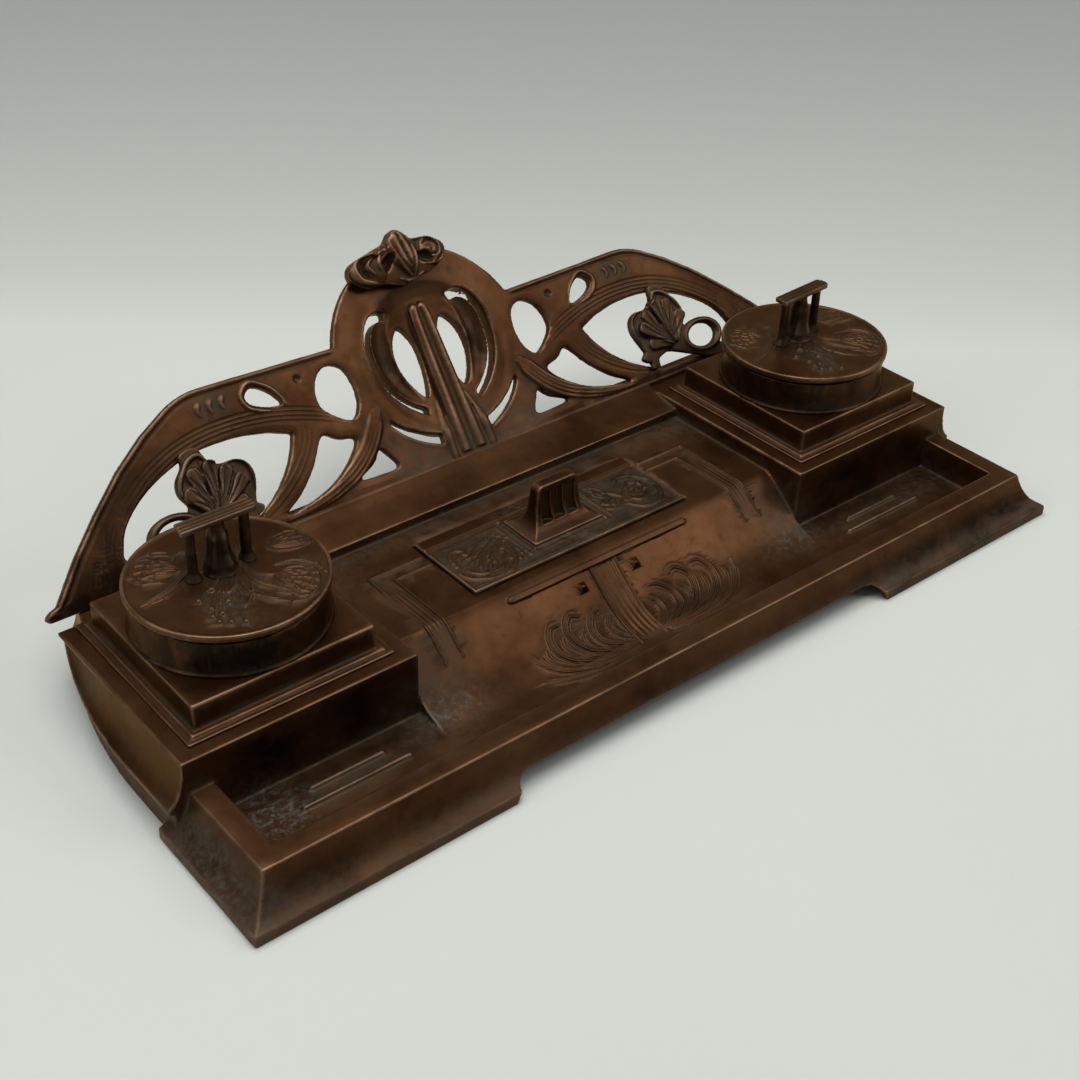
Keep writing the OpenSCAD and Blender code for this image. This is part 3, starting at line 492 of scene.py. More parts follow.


# Dark and light brown, worn metal that also serves as painted edge highlight, patina in the
# hollows, dust
BRONZE = bronze("brown_bronze", (0.036, 0.0135, 0.0048, 1), (0.086, 0.037, 0.0150, 1),
                (0.21, 0.120, 0.072, 1), (0.014, 0.015, 0.009, 1), (0.085, 0.10, 0.095, 1))
DARK_BRONZE = bronze("dark_bronze", (0.028, 0.0122, 0.0056, 1), (0.070, 0.032, 0.0140, 1),
                     (0.17, 0.115, 0.080, 1), (0.018, 0.019, 0.014, 1), (0.17, 0.20, 0.19, 1))
BRASS = plain_metal("sheet_brass", (0.30, 0.21, 0.09, 1), (0.48, 0.35, 0.16, 1), 1.0, 0.28)
STEEL = plain_metal("screw_steel", (0.16, 0.16, 0.16, 1), (0.34, 0.34, 0.33, 1), 1.0, 0.30)
GLASS = clear_glass("clear_glass")


# Base casting

def roll_z(d):
    t = np.clip((ROLL_END - d) / (ROLL_END - ROLL_START), 0, 1) ** 0.7
    return FLOOR_Z + (PLATFORM_Z - FLOOR_Z) * (1 + np.cos(math.pi * t)) / 2


# Frame lines: distance from the middle and depth of the back line; and where they start
FRAME_LINES = [(77.5, 104.4), (70.0, 98.7)]
FRAME_FRONT_D, FRAME_IN_X = 57.0, 54.0
LINE_W, LINE_H = 1.3, 0.75
BAND_RIBS, BAND_RIB_W, BAND_RIB_H = 3, 0.9, 0.22
STRAP_X, STRAP_W, STRAP_H = 6.0, 1.4, 0.8
STRAP_GROUND, STRAP_WAVE, STRAP_PITCH = 0.22, 0.10, 2.4
BAR_HALF, BAR_D, BAR_W, BAR_H = 44.0, 65.7, 2.4, 1.15
STUD_X, STUD_D = 13.0, 60.4
NIB_HOLE_D, NIB_HOLE_HALF = 93.3, (52.6, 19.8)
TOP_HALF, TOP_START = 91.5, 27.5

# Fans of the tray's plume, right side: x outwards and depth; each is one feather
PLUME = [
    ([(7, 36.5), (13, 37.5), (20, 42), (21.5, 49), (17.5, 54), (13.5, 55)], 1.9),
    ([(7, 35.5), (15, 36), (25, 39.5), (31, 46), (32.5, 53), (28, 57), (23.5, 55.5)], 2.0),
    ([(8, 34.5), (18, 34), (30, 36.5), (39, 42), (42.5, 49), (40, 55.5), (34, 56)], 2.0),
    ([(8, 33.5), (20, 32.2), (34, 33.6), (45, 38), (51, 44.5), (54, 51)], 1.9),
    ([(9, 32.6), (22, 30.6), (36, 31), (48, 34), (58, 38.5)], 1.6),
    ([(6, 37), (9.5, 40), (12.5, 44), (12.5, 48.5), (9.5, 51)], 1.7),
    ([(9, 35.2), (17, 36), (26, 41.5), (27.5, 48), (24.5, 51.5)], 1.3),
    ([(10, 34.6), (22, 36), (33, 41), (37, 48), (35.5, 52)], 1.4),
    ([(12, 33.3), (28, 34.4), (41, 39.5), (47, 46), (46.5, 50)], 1.3),
]
PLUME_HIGH, PLUME_DEPTH, PLUME_D = 0.8, 0.9, 33
PLUME_STRETCH = {1: 1.0, -1: 0.86}
HAIR_W, HAIR_H, HAIR_OFF = 0.75, 0.26, 0.85


def centre_relief(x, d):
    """Height of the lines, the strap and the plume over the roll and the platform."""
    side = np.abs(x)
    parts = []
    for line_x, back in FRAME_LINES:
        parts.append(stroke(side, d, [(line_x, FRAME_FRONT_D), (line_x, back)], LINE_W, LINE_H,
                            (0.25, 0)))
        parts.append(stroke(side, d, [(FRAME_IN_X, back), (line_x, back)], LINE_W, LINE_H,
                            (0, 0)))
    # Fine ribs between the two lines
    (outer_x, _), (inner_x, _) = FRAME_LINES
    for k in range(1, BAND_RIBS + 1):
        mid = inner_x + (outer_x - inner_x) * k / (BAND_RIBS + 1)
        parts.append(stroke(side, d, [(mid, 62), (mid, 92)], BAND_RIB_W, BAND_RIB_H, (0.4, 0.4)))
    parts.append(stroke(x, d, [(-BAR_HALF, BAR_D), (BAR_HALF, BAR_D)], BAR_W, BAR_H,
                        (0.02, 0.02), 0.5))
    for sx in (-STRAP_X, STRAP_X):
        parts.append(stroke(x, d, [(sx, 33.5), (sx, 65)], STRAP_W, STRAP_H, (0.15, 0)))
    ground = STRAP_GROUND + STRAP_WAVE * np.cos(side * 2 * math.pi / STRAP_PITCH)
    strap = (side < STRAP_X) & (d > 35) & (d < 65)
    parts.append(np.where(strap, ground, 0) * ease(d, 35, 38))
    for sign, stretch in PLUME_STRETCH.items():
        for points, width in PLUME:
            placed = [(sign * px * stretch, PLUME_D + (pd - PLUME_D) * PLUME_DEPTH)
                      for px, pd in points]
            parts.append(vein(x, d, placed, width, PLUME_HIGH * width / 2, (0.15, 0.5)))
            for shift in (-HAIR_OFF, HAIR_OFF):
                parts.append(stroke(x, d, offset_line(placed, shift * width), HAIR_W, HAIR_H,
                                    (0.3, 0.6)))
    return np.maximum.reduce([np.zeros(len(x))] + parts)


def build_base():
    piece = Cast("base_casting", 0.72, smooth=0)
    stud_near = ((np.abs(np.abs(piece.co[:, 0]) - STUD_X) < 3.6)
                 & (np.abs(piece.co[:, 1] - FRONT_Y - STUD_D) < 4.2))
    piece.co = piece.spread(piece.co, 1, mask=~stud_near)

    def on_top(co, normal):
        x, d = co[:, 0], co[:, 1] - FRONT_Y
        z = np.where(d < ROLL_END, roll_z(d), PLATFORM_Z)
        return ((np.abs(x) < TOP_HALF) & (d > TOP_START) & (d < LEDGE_D - 1.5)
                & (normal[:, 2] > -0.3) & (co[:, 2] > z - 0.9) & (co[:, 2] < z + 4))

    def under_plume(co, normal):
        x, d = co[:, 0], co[:, 1] - FRONT_Y
        return on_top(co, normal) & (x > -52) & (x < 62) & (d < 68)

    piece.refine(on_top)
    piece.refine(under_plume)
    normal = piece.normals()
    x, d = piece.co[:, 0], piece.co[:, 1] - FRONT_Y
    stud = ((np.abs(np.abs(x) - STUD_X) < 3.8) & (np.abs(d - STUD_D) < 4.4)
            & (piece.co[:, 2] > roll_z(d) + 0.1))
    hole = (np.abs(x) < NIB_HOLE_HALF[0]) & (np.abs(d - NIB_HOLE_D) < NIB_HOLE_HALF[1])
    top = on_top(piece.co, normal) & ~stud & ~hole
    # Back to the plain surface, and then the relief square to it
    flat = np.where(d < ROLL_END, roll_z(d), PLATFORM_Z)
    piece.co[top, 2] = flat[top]
    step = 0.5
    slope = (roll_z(d + step) - roll_z(d - step)) / (2 * step)
    slope = np.where(d < ROLL_END, slope, 0)
    length = np.sqrt(1 + slope ** 2)
    h = np.zeros(len(x))
    h[top] = centre_relief(x[top], d[top])
    piece.ornament(h, 0.8)
    piece.co[:, 1] -= h * slope / length
    piece.co[:, 2] += h / length

    def bloom(co):
        """Blue-grey dust in the tray's corners, at the pedestals' feet and on the left end."""
        bx, bd, bz = co[:, 0], co[:, 1] - FRONT_Y, co[:, 2]
        low = 1 - ease(bz, 6.5, 14)
        corner = spot(bx, bd, (-158, 40), (13, 13))
        foot = spot(np.abs(bx), bd, (88, 46), (17, 9))
        right = spot(bx, bd, (162, 44), (16, 9))
        back = spot(np.abs(bx), bd, (88, 116), (10, 12)) * (bz < 27)
        side = 0.5 * (bx < -178) * ridge(bd, 30, 26) * (1 - ease(bz, 8, 17))
        return np.clip(low * (1.15 * corner + 0.6 * foot + 0.5 * right) + 0.4 * back + side, 0, 1)

    def green(co):
        """Grey-green film: low on the skirt, at the pedestals' feet and along the roll."""
        bx, bd, bz = co[:, 0], co[:, 1] - FRONT_Y, co[:, 2]
        side = np.abs(bx)
        outer = np.maximum(1 - ease(bd, 9, 13), ease(side, 174, 178))
        skirt = 0.8 * outer * (1 - ease(bz, 6, 13))
        left = 0.9 * ease(-bx, 173, 178) * (1 - ease(bz, 12, 19)) * (1 - ease(bd, 52, 70))
        foot = spot(side, bd, (92, 52), (16, 16)) * (1 - ease(bz, 20, 25))
        low = 1 - ease(bz, 25, 27)
        band = 0.75 * np.exp(-((side - 73.7) / 5) ** 4) * ease(bd, 54, 62) * low
        band *= 1 - ease(bd, 100, 112)
        groove = 0.8 * spot(side, bd, (130, 40), (36, 8)) * (1 - ease(bz, 6, 10))
        back = 0.7 * ease(bd, 110, 116) * (1 - ease(bd, 121, 126)) * low
        strap = 0.7 * np.exp(-(side / 6.2) ** 6) * ease(bd, 32, 36) * (1 - ease(bd, 62, 67))
        return np.clip(np.maximum.reduce([skirt, left, foot, band, groove, back, strap]), 0, 1)

    def darkening(co):
        """Painted shade: near-black on the pedestals' fronts, and on the skirt's shaded right end.
        """
        bx, bd, bz = co[:, 0], co[:, 1] - FRONT_Y, co[:, 2]
        near = (bd > 30) & (bd < 62) & (bz > 4) & (bz < 27)
        left = ridge(bx, -152, 15) + 0.8 * ridge(bx, -116, 11)
        right = 0.8 * ridge(bx, 122, 26)
        floor = ease(bd, 36, 50)
        skirt = 0.85 * ease(bx, 40, 130) * (1 - ease(bd, 6, 9)) * (1 - ease(bz, 13, 17))
        return np.clip((left + right) * near * floor + skirt, 0, 1)

    piece.finish(BRONZE, faces=175000, unevenness=0.03, seed=11, bloom=bloom, green=green,
                 darkening=darkening)


# Gallery

WING_TOP = [(34, 78), (38, 70), (41, 60.4), (101, 60.4), (109, 59.5), (116, 57), (127, 51),
            (140, 42), (154, 30), (166, 18.5), (178, 5.2), (184, 0)]
BAND_LINES = [
    # Upper band, from the crest round to the foot
    [(42, 29.5), (52, 34.2), (64, 38.8), (76, 42.2), (90, 44.2), (105, 44), (119, 41.2),
     (132, 35.4), (143, 27.5), (150.5, 19), (154, 9)],
    # Band that comes off the crest's side and runs down into the foot
    [(35, 31), (39.5, 24), (45, 17.6), (52.5, 12.2), (62, 8.2), (74, 5.6), (88, 4.2)],
    # Short band between the openings
    [(65.5, 34), (68.5, 27.5), (75, 20), (84, 13.5), (93.5, 9.2), (105, 6.6)],
]
# Grooves of each band, as distances from its line
BAND_SHIFTS = [(-2.6, -1.0, 0.8, 2.4), (-1.8, 0.0, 1.8), (-2.0, 0.0, 2.0)]
# Dark dished petal beside an almond opening, and border of the drop-shaped opening
CREST_PETAL = [(14, 66), (20.3, 60), (22.6, 49), (20.6, 38), (14.6, 27)]
DROP_BORDER = [(69.5, 44.5), (73, 51.8), (80.5, 56.6), (85.8, 52.5), (83.6, 47), (76, 44)]
COMMAS, COMMA_X, COMMA_PITCH = 3, 93, 4.9
# How far the two ribs are set apart, at the foot and at the top, and the furrow between them
RIB_APART, RIB_APART_TOP, FURROW = 2.3, 0.8, 0.9


def gallery_place(co):
    """x, height along the slope and height off the front face."""
    gy, gz = co[:, 1] - GALLERY_Y, co[:, 2] - DECK_Z
    return (co[:, 0], gy * math.sin(LEAN) + gz * math.cos(LEAN),
            -gy * math.cos(LEAN) + gz * math.sin(LEAN))


def build_gallery():
    piece = Cast("gallery", 0.55, smooth=2)
    x, s, off = gallery_place(piece.co)
    side = np.abs(x)
    facing = piece.normals() @ GALLERY_OUT
    face = (facing > 0.75) & (off > -4.6) & (off < 0.8) & (piece.co[:, 2] > DECK_Z + 1)
    # Distance of each point of the face from its nearest edge
    rim = np.flatnonzero((facing < 0.55) & (off > -2.6) & (off < 0.4))
    tree = kdtree.KDTree(len(rim))
    for i, k in enumerate(rim):
        tree.insert((x[k], s[k], 0), i)
    tree.balance()
    gap = np.full(len(x), 9.0)
    outer = np.zeros(len(x))
    from_crest = np.hypot(x, s - CREST_S)
    top_x, top_s = zip(*WING_TOP)
    for k in np.flatnonzero(face):
        place, _, gap[k] = tree.find((x[k], s[k], 0))
        from_top = place[1] - np.interp(abs(place[0]), top_x, top_s)
        outer[k] = abs(from_top) < 3 and abs(place[0]) > 38
    # Bead and groove along the upper edge, a faint bead along the others
    h = outer * ease(side, 40, 47) * (0.55 * ridge(gap, 1.0, 0.9) - 0.3 * ridge(gap, 2.7, 0.7))
    h += (1 - outer) * 0.10 * ridge(gap, 0.9, 0.8)
    # Rounded band surfaces, and a ring round the crest's openings
    h += 0.3 * ease(gap, 0.2, 3.0) * ease(side, 24, 42)
    h += 0.35 * ease(CREST_R - from_crest, -1, 1) * ridge(from_crest, 33, 3.0)
    for line, shifts in zip(BAND_LINES, BAND_SHIFTS):
        for k, shift in enumerate(shifts):
            h -= stroke(side, s, offset_line(line, shift), 0.95, 0.34 - 0.05 * (k % 2),
                        (0.5, 0.6))
    # The band off the crest lies over the others, with a sharp upper edge
    h += stroke(side, s, BAND_LINES[1], 7.5, 0.75, (0.1, 0.7), 0.55)
    # Striations at the outer end
    for k in range(4):
        h -= stroke(side, s, [(152 + 2.2 * k, 25 - 2.6 * k), (156 + 1.9 * k, 15 - 1.6 * k),
                              (157.5 + 2.0 * k, 6)], 0.9, 0.32, (0.4, 0.4))
    # Border of the drop-shaped opening, dimple and three commas near the shoulder
    h += stroke(side, s, DROP_BORDER, 1.5, 0.7, (0.1, 0.1))
    h -= bump(np.hypot(side - 61.5, s - 52), 1.6, 0.9)
    for k in range(COMMAS):
        at = COMMA_X + COMMA_PITCH * k
        h += stroke(side, s, [(at - 0.8, 55.4), (at + 0.9, 52.8), (at + 0.2, 50)], 2.2, 0.6,
                    (0.3, 0.6))
    # Dark dished petals beside the almond openings, and the ribbed stem below
    h -= 1.7 * stroke(side, s, CREST_PETAL, 9.6, 1.0, (0.35, 0.3)) ** 2
    h += stroke(side, s, [(9.4, 1.5), (8.8, 15), (6.8, 27)], 3.4, 0.8, (0.1, 0.5))
    marks = np.minimum(h, 0) * (side > 34)
    h += stroke(side, s, [(0, 1.6), (52, 1.6), (150, 1.4)], 1.1, 0.35, (0, 0.1))
    # The two ribs stand further apart towards their foot, with a deeper furrow between them
    rib = (off > -1.2) * (1 - ease(s, 58, 66)) * ease(facing, -0.2, 0.3)
    apart = (RIB_APART - (RIB_APART - RIB_APART_TOP) * np.clip(s / 60, 0, 1)) * rib
    furrow = FURROW * ridge(x, 0, 0.8) * rib * ease(off, 0.0, 0.8)
    weight = ease(facing, 0.3, 0.8) * face
    weight[(side < 5.4) & (s < 65)] = 0
    piece.ornament(marks * weight, 0.55)
    piece.co += GALLERY_OUT * (h * weight - furrow)[:, None]
    piece.co[:, 0] += np.sign(x) * apart * np.clip(side / 2.2, 0, 1) * (1 - ease(side, 4.6, 8))
    piece.co = piece.spread(piece.co, 1)

    def bloom(co):
        """Dust along the foot."""
        bx, bs, _ = gallery_place(co)
        return 0.35 * spot(np.abs(bx), bs, (100, 0), (60, 5))

    def green(co):
        """Grey-green film on the foot's middle, under the boss and round the commas."""
        gx, gs, _ = gallery_place(co)
        foot = 0.75 * (1 - ease(gs, 4, 26)) * (np.abs(gx) < 40)
        under_boss = 0.35 * spot(gx, gs, (-2, 72), (22, 4))
        commas = 0.8 * (np.abs(np.abs(gx) - 98) < 8) * (np.abs(gs - 53) < 4)
        return np.maximum.reduce([foot, under_boss, commas])

    def darkening(co):
        """Painted shade: the hollow petals of the crest nearly black low down, and the left end
        darker.
        """
        gx, gs, _ = gallery_place(co)
        petals = 0.9 * np.exp(-((np.abs(gx) - 20) / 4.5) ** 4 - ((gs - 42) / 15) ** 2)
        return np.maximum(petals, 0.6 * ease(-gx, 96, 150))

    piece.finish(BRONZE, faces=135000, unevenness=0.06, seed=21, bloom=bloom, green=green,
                 darkening=darkening)


# Blossoms

BOSS_MIDDLE, BOSS_S, BOSS_REACH = -2.0, 84, (24, 13)
# Folds of the boss: line, width, height (or depth, below 0) and how it thins out
BOSS_FOLDS = [
    # Left curl
    ([(-14, 88), (-20, 88.5), (-24, 84.5), (-22.5, 79), (-16, 76)], 3.4, 1.9, (0.2, 0.4)),
    ([(-10, 88), (-15, 87), (-18.5, 83.6), (-15.8, 79.5)], 2.6, 1.7, (0.2, 0.4)),
    ([(-12, 86), (-17, 86.4), (-20.8, 82.8), (-18, 78)], 1.5, -1.6, (0.3, 0.4)),
    ([(-6, 88.5), (-11, 86.5), (-13.2, 82.5), (-11, 79.5)], 2.2, 1.2, (0.3, 0.4)),
    # Middle petal with its crease, and the folds beside it
    ([(-1, 95), (-1, 89), (0, 82), (0.6, 76)], 9.5, 2.6, (0.15, 0.35)),
    ([(-1, 93), (-0.6, 86), (0.4, 79)], 1.3, -1.4, (0.2, 0.3)),
    ([(3, 92), (4.6, 87), (3.6, 81), (1.4, 76)], 2.4, 1.4, (0.3, 0.4)),
    ([(-5.2, 92), (-6, 87.5), (-4.4, 81), (-1.2, 76)], 2.4, 1.4, (0.3, 0.4)),
    ([(-5.5, 85), (-8.6, 83.2), (-11, 79.8)], 4.2, -3.4, (0.4, 0.4)),
    ([(5.4, 82), (8, 81.4), (11, 79)], 4.2, -3.4, (0.4, 0.4)),
    ([(-9.5, 89), (-8, 86.6), (-11, 84)], 2.4, 1.2, (0.3, 0.4)),
    # Right lobe, a loose ball of petals
    ([(8.4, 86), (11.5, 87), (14.6, 85), (14.4, 81.5), (11.4, 81), (11.2, 83.4)], 1.2, -1.3,
     (0.3, 0.4)),
    ([(5, 89), (10, 89.2), (15, 88), (18, 84.5), (17.4, 79.5), (13, 77)], 2.4, 1.5, (0.3, 0.4)),
    # Small lip at the bottom
    ([(-5.5, 75.5), (-1.5, 73.6), (2.5, 73.6), (6, 75.6)], 2.2, 1.3, (0.4, 0.4)),
]


def build_crest_boss():
    piece = Cast("crest_boss", 0.38, smooth=3, slot="dark_bronze")
    x, s, off = gallery_place(piece.co)
    facing = piece.normals() @ GALLERY_OUT
    # Domed all over, thin at the outline
    dome = 1 - np.hypot((x - BOSS_MIDDLE) / BOSS_REACH[0], (s - BOSS_S) / BOSS_REACH[1]) ** 2
    h = 1.9 * np.clip(dome, -0.9, 1) - 0.9 - 2.2 * ease(-dome, -0.15, 0.5)
    h += bump(np.hypot(x + 17.5, s - 82), 7.5, 1.3)
    h += bump(np.hypot(x - 12.5, s - 83), 6.2, 2.4)
    for fold in BOSS_FOLDS:
        h += stroke(x, s, *fold)
    weight = ease(facing, 0.1, 0.7) * ease(off, 1.0, 3.0)
    piece.co += GALLERY_OUT * (np.clip(h, -3.6, 3.2) * weight)[:, None]
    piece.co = piece.spread(piece.co, 2)
    piece.finish(BRONZE, faces=28000, seed=31, wear_and_highlight=1.3, green=evenly(0.12))


RING_AT, RING_STRETCH, RING_MIDDLE = (129.2, 13.2), 1.5, 6.4
FAN_ROOT = (112, 14.5)
FAN_FOLDS = [(95.5, 22), (97, 27), (100, 29), (103, 31), (106.5, 31), (109.5, 34.5),
             (112.5, 35.5), (115, 34), (118, 31), (120, 27), (119.6, 22)]


def build_blossom(side):
    sign = -1 if side == "left" else 1
    piece = Cast("blossom_" + side, 0.36, smooth=9, slot="dark_bronze")
    x, s, off = gallery_place(piece.co)
    x = x * sign
    facing = piece.normals() @ GALLERY_OUT
    h = np.zeros(len(x))
    # Curled edge along the top of the fan
    h += stroke(x, s, [(95, 17), (93.6, 24), (94.6, 29.4), (99, 32), (104.6, 31.4)], 2.2, 1.2,
                (0.35, 0.35))
    h += stroke(x, s, [(105, 32), (108.6, 34.6), (111.5, 37.6), (116, 36.4), (120.4, 31.8),
                       (122.6, 26.6), (121.4, 22)], 2.2, 1.3, (0.35, 0.35))
    # Folds between the flutes
    for end in FAN_FOLDS:
        halfway = ((FAN_ROOT[0] + end[0]) / 2 - 1, (FAN_ROOT[1] + end[1]) / 2)
        h -= stroke(x, s, [FAN_ROOT, halfway, end], 0.8, 0.5)
    # Ring: a rounded scroll
    ring = np.hypot((x - RING_AT[0]) / RING_STRETCH, s - RING_AT[1])
    h += 0.9 * ridge(ring, RING_MIDDLE, 0.9)
    weight = ease(facing, 0.1, 0.7) * ease(off, 0.8, 1.8)
    piece.co += GALLERY_OUT * (h * weight)[:, None]
    piece.co = piece.spread(piece.co, 2)
    piece.finish(DARK_BRONZE, faces=30000, seed=41 + sign, wear_and_highlight=0.8,
                 green=evenly(0.35))


# Lids

# Berries of a lid: place and radius; their size against the radius, and their height
BERRY_SCALE, BERRY_HIGH = 0.70, 0.9
BERRIES = [(-14.8, -7.7, 1.7), (-8.4, -4.5, 1.9), (-7.3, -13.3, 1.8), (-13.7, -13.7, 1.6),
           (-15.3, -17.6, 1.5), (-11.9, -17.7, 1.6), (-15.0, -21.2, 1.6), (-12.1, -23.3, 1.5),
           (-8.1, -25.8, 1.5)]
# Lines of a lid: line, width, height and how it thins out; both sizes against those listed
LID_LINE_WIDTH, LID_LINE_HEIGHT = 0.82, 0.8
LID_STROKES = [
    # Stems that fan out from the handle's foot
    ([(11, 13), (6, 3.5), (2.2, -5), (1, -11), (2.2, -16.5), (6.5, -21.5)], 1.7, 1.0, (0.1, 0.5)),
    ([(9.5, 11), (6.4, 2), (5.4, -5), (6.2, -11), (9.4, -17), (11.4, -21.5), (10, -26.5)],
     1.9, 1.1, (0.1, 0.5)),
    ([(10.5, 12), (7.6, 3), (7.4, -3), (9, -7), (12.6, -9.4), (14.4, -7.8)], 1.5, 0.9,
     (0.1, 0.4)),
    ([(8, 9), (3.4, -0.6), (0, -5.6), (-4, -8.8), (-6.6, -7), (-9, -3)], 1.4, 0.8, (0.1, 0.4)),
    ([(9, 12), (4.4, 1.6), (-0.6, -7.5), (-1.6, -12), (-5, -18.6)], 1.2, 0.6, (0.1, 0.5)),
    ([(4, -7), (2.4, -12.4), (-1.6, -16.8), (-5, -19)], 1.3, 0.7, (0.2, 0.5)),
    ([(6, 3.2), (3, 0.2), (0, -0.8), (-2.5, -0.2), (-1.8, 1.8)], 1.5, 0.9, (0.2, 0.3)),
    # Left long leaf stroke
    ([(-30.5, 1.2), (-20, 3.2), (-12, 7.4), (-8, 9)], 2.4, 0.9, (0.35, 0.2)),
    ([(-29, 0.2), (-19.5, 1.4), (-12, 5.2)], 1.2, 0.5, (0.4, 0.4)),
    # Upper-left leaf
    ([(-24, 12.5), (-25.4, 18), (-21, 23.6), (-14, 25.4), (-9.5, 23)], 1.8, 0.8, (0.3, 0.4)),
    ([(-11.6, 16), (-8.6, 18.8), (-4.4, 19.2), (-1.6, 17)], 1.7, 0.9, (0.3, 0.4)),
    ([(-21, 11.5), (-21.5, 16), (-18, 20), (-13, 20.6)], 1.2, 0.5, (0.3, 0.4)),
    # Loop round the left post's foot
    ([(-3.5, 16), (-8, 9.5), (-9.6, 6), (-6.6, 5), (-3, 7.6), (1.5, 13)], 1.6, 1.0, (0.2, 0.2)),
    # Right leaf
    ([(18.8, 7.4), (20.2, 3.2), (25, 0.4), (31, -0.8), (33.4, 1)], 2.2, 1.0),
    ([(20.4, 8.6), (22.4, 5), (27, 3.2), (31.6, 3)], 1.3, 0.5, (0.3, 0.4)),
    # Lower-right ribbed flower
    ([(15, -4.6), (21.6, -7.2), (25.2, -13.6), (24.2, -19.8), (20, -25), (13, -27.2),
      (9, -25.6)], 2.2, 1.1),
    ([(13.4, -11.4), (18.6, -12.4), (21.4, -16), (19.6, -21), (14.4, -23.4)], 1.4, 0.7,
     (0.3, 0.4)),
    ([(12.4, -14.4), (16.4, -15), (18, -17.8), (16, -20.6)], 1.3, 0.6, (0.3, 0.4)),
    ([(11.6, -9.4), (18, -9), (22.6, -12.6), (22.6, -18.4)], 1.1, 0.5, (0.3, 0.4)),
    ([(2.2, -16.5), (4, -20.5), (8.4, -24.4)], 1.2, 0.6, (0.2, 0.4)),
]
# Petals on a lid: middle, radii, the way they open, number of lines
LID_PETALS = [((-17.5, 16.5), (9.5, 8.0), math.radians(-40), 8),
              ((17.6, -16.5), (10.5, 9.0), math.radians(125), 9),
              ((26.0, 5.0), (7.0, 4.6), math.radians(175), 6)]
PETAL_LINE_W, LID_PETAL_H, NIB_PETAL_H = 0.95, 0.42, 0.5
# Swellings under the petals: middle, radii and height
LID_SWELLS = [((-17, 17), (8, 7.5), 0.45), ((17, -17.5), (8.5, 10), 0.5), ((27, 6), (7.5, 6), 0.4)]
LID_FACE_R, LID_RELIEF_R, LID_DUST_Z = 32.6, 33.0, 57


def lid_place(co, side):
    """Places on a lid, from its middle and along its own turned directions."""
    centre, turn = LID_CENTRE[side], LID_TURN[side]
    dx, dy = co[:, 0] - centre[0], co[:, 1] - centre[1]
    return (dx * math.cos(turn) + dy * math.sin(turn),
            dy * math.cos(turn) - dx * math.sin(turn))


def build_lid(side):
    piece = Cast("lid_" + side, 0.5, smooth=2, body="ink_lid_" + side)

    def top(co, normal):
        return ((normal[:, 2] > 0.7) & (co[:, 2] > LID_TOP - 0.6)
                & (np.hypot(*lid_place(co, side)) < LID_FACE_R))

    piece.refine(top)
    normal = piece.normals()
    face = top(piece.co, normal)
    u, v = lid_place(piece.co[face], side)
    h = raised(u, v, [(points, LID_LINE_WIDTH * width, LID_LINE_HEIGHT * height, *taper)
                      for points, width, height, *taper in LID_STROKES])
    for middle, radii, way, count in LID_PETALS:
        for line in petal_lines(middle, radii, way, count):
            h = np.maximum(h, stroke(u, v, line, PETAL_LINE_W, LID_PETAL_H))
    for bu, bv, radius in BERRIES:
        r = BERRY_SCALE * radius
        h = np.maximum(h, bump(np.hypot(u - bu, v - bv), r, BERRY_HIGH * r))
        # Thin stalk up towards the stems
        stalk = [(bu, bv), (bu * 0.55 - 0.6, bv * 0.55 + 1), (0.5, 1.5)]
        h = np.maximum(h, stroke(u, v, stalk, 0.9, 0.4, (0, 0.5)))
    # The petals swell, and the ground between the stems is sunk a little
    for (cu, cv), (ru, rv), height in LID_SWELLS:
        h += height * np.clip(1 - ((u - cu) / ru) ** 2 - ((v - cv) / rv) ** 2, 0, 1)
    h -= 0.22 * spot(u, v, (1, -9), (9, 13))
    relief = np.zeros(len(face))
    relief[face] = h * ease(LID_RELIEF_R - np.hypot(u, v), 0, 1.5)
    piece.co[:, 2] += relief
    piece.ornament(np.maximum(relief, 0), 0.85)

    def bloom(co):
        """Dust among the berries."""
        return 0.4 * spot(*lid_place(co, side), (-6, -12), (10, 12)) * (co[:, 2] > LID_DUST_Z)

    piece.finish(BRONZE, faces=50000, unevenness=0.035, seed=51, bloom=bloom)


GROOVES_V, GROOVE_W, GROOVE_DEPTH = (2.2, 4.0, 5.8), 0.42, 0.3
STEM_V, STEM_R, STEM_FLUTES, STEM_OUT, FLUTE_OUT = 4, 6.5, 5, 1.0, 0.4
POST_TOP = 18


def build_handle(side):
    turn = LID_TURN[side]
    piece = Cast("handle_" + side, 0.3, smooth=3, slot="dark_bronze", body="ink_lid_" + side)
    u, v = lid_place(piece.co, side)
    z = piece.co[:, 2] - LID_TOP
    normal = piece.normals()
    # Lengthwise grooves on the finger bar
    bar = ease(normal[:, 2], 0.5, 0.9) * (z > POST_TOP)
    groove = sum(ridge(v, at, GROOVE_W) for at in GROOVES_V)
    piece.co[:, 2] -= GROOVE_DEPTH * groove * bar
    # Petal-like flutes round the middle stem
    angle = np.arctan2(v - STEM_V, u)
    stem = (np.hypot(u, v - STEM_V) < STEM_R) & (z < POST_TOP)
    out = np.stack([np.cos(angle + turn), np.sin(angle + turn), np.zeros(len(u))], 1)
    flute = np.cos(angle * STEM_FLUTES) * FLUTE_OUT + STEM_OUT
    flute *= ease(z, 0.4, 4) * (1 - ease(z, 13, POST_TOP))
    piece.co += out * (flute * stem)[:, None]
    piece.co = piece.spread(piece.co, 1)
    # Painted shade on the posts below the finger bar, and grey-green film at their foot
    piece.finish(DARK_BRONZE, faces=18000, seed=61,
                 green=lambda co: 0.6 * (1 - ease(co[:, 2], LID_TOP + 3, LID_TOP + 10)),
                 darkening=lambda co: 0.7 * (1 - ease(co[:, 2], LID_TOP + 16, LID_TOP + POST_TOP)))


# Nib lid and grip

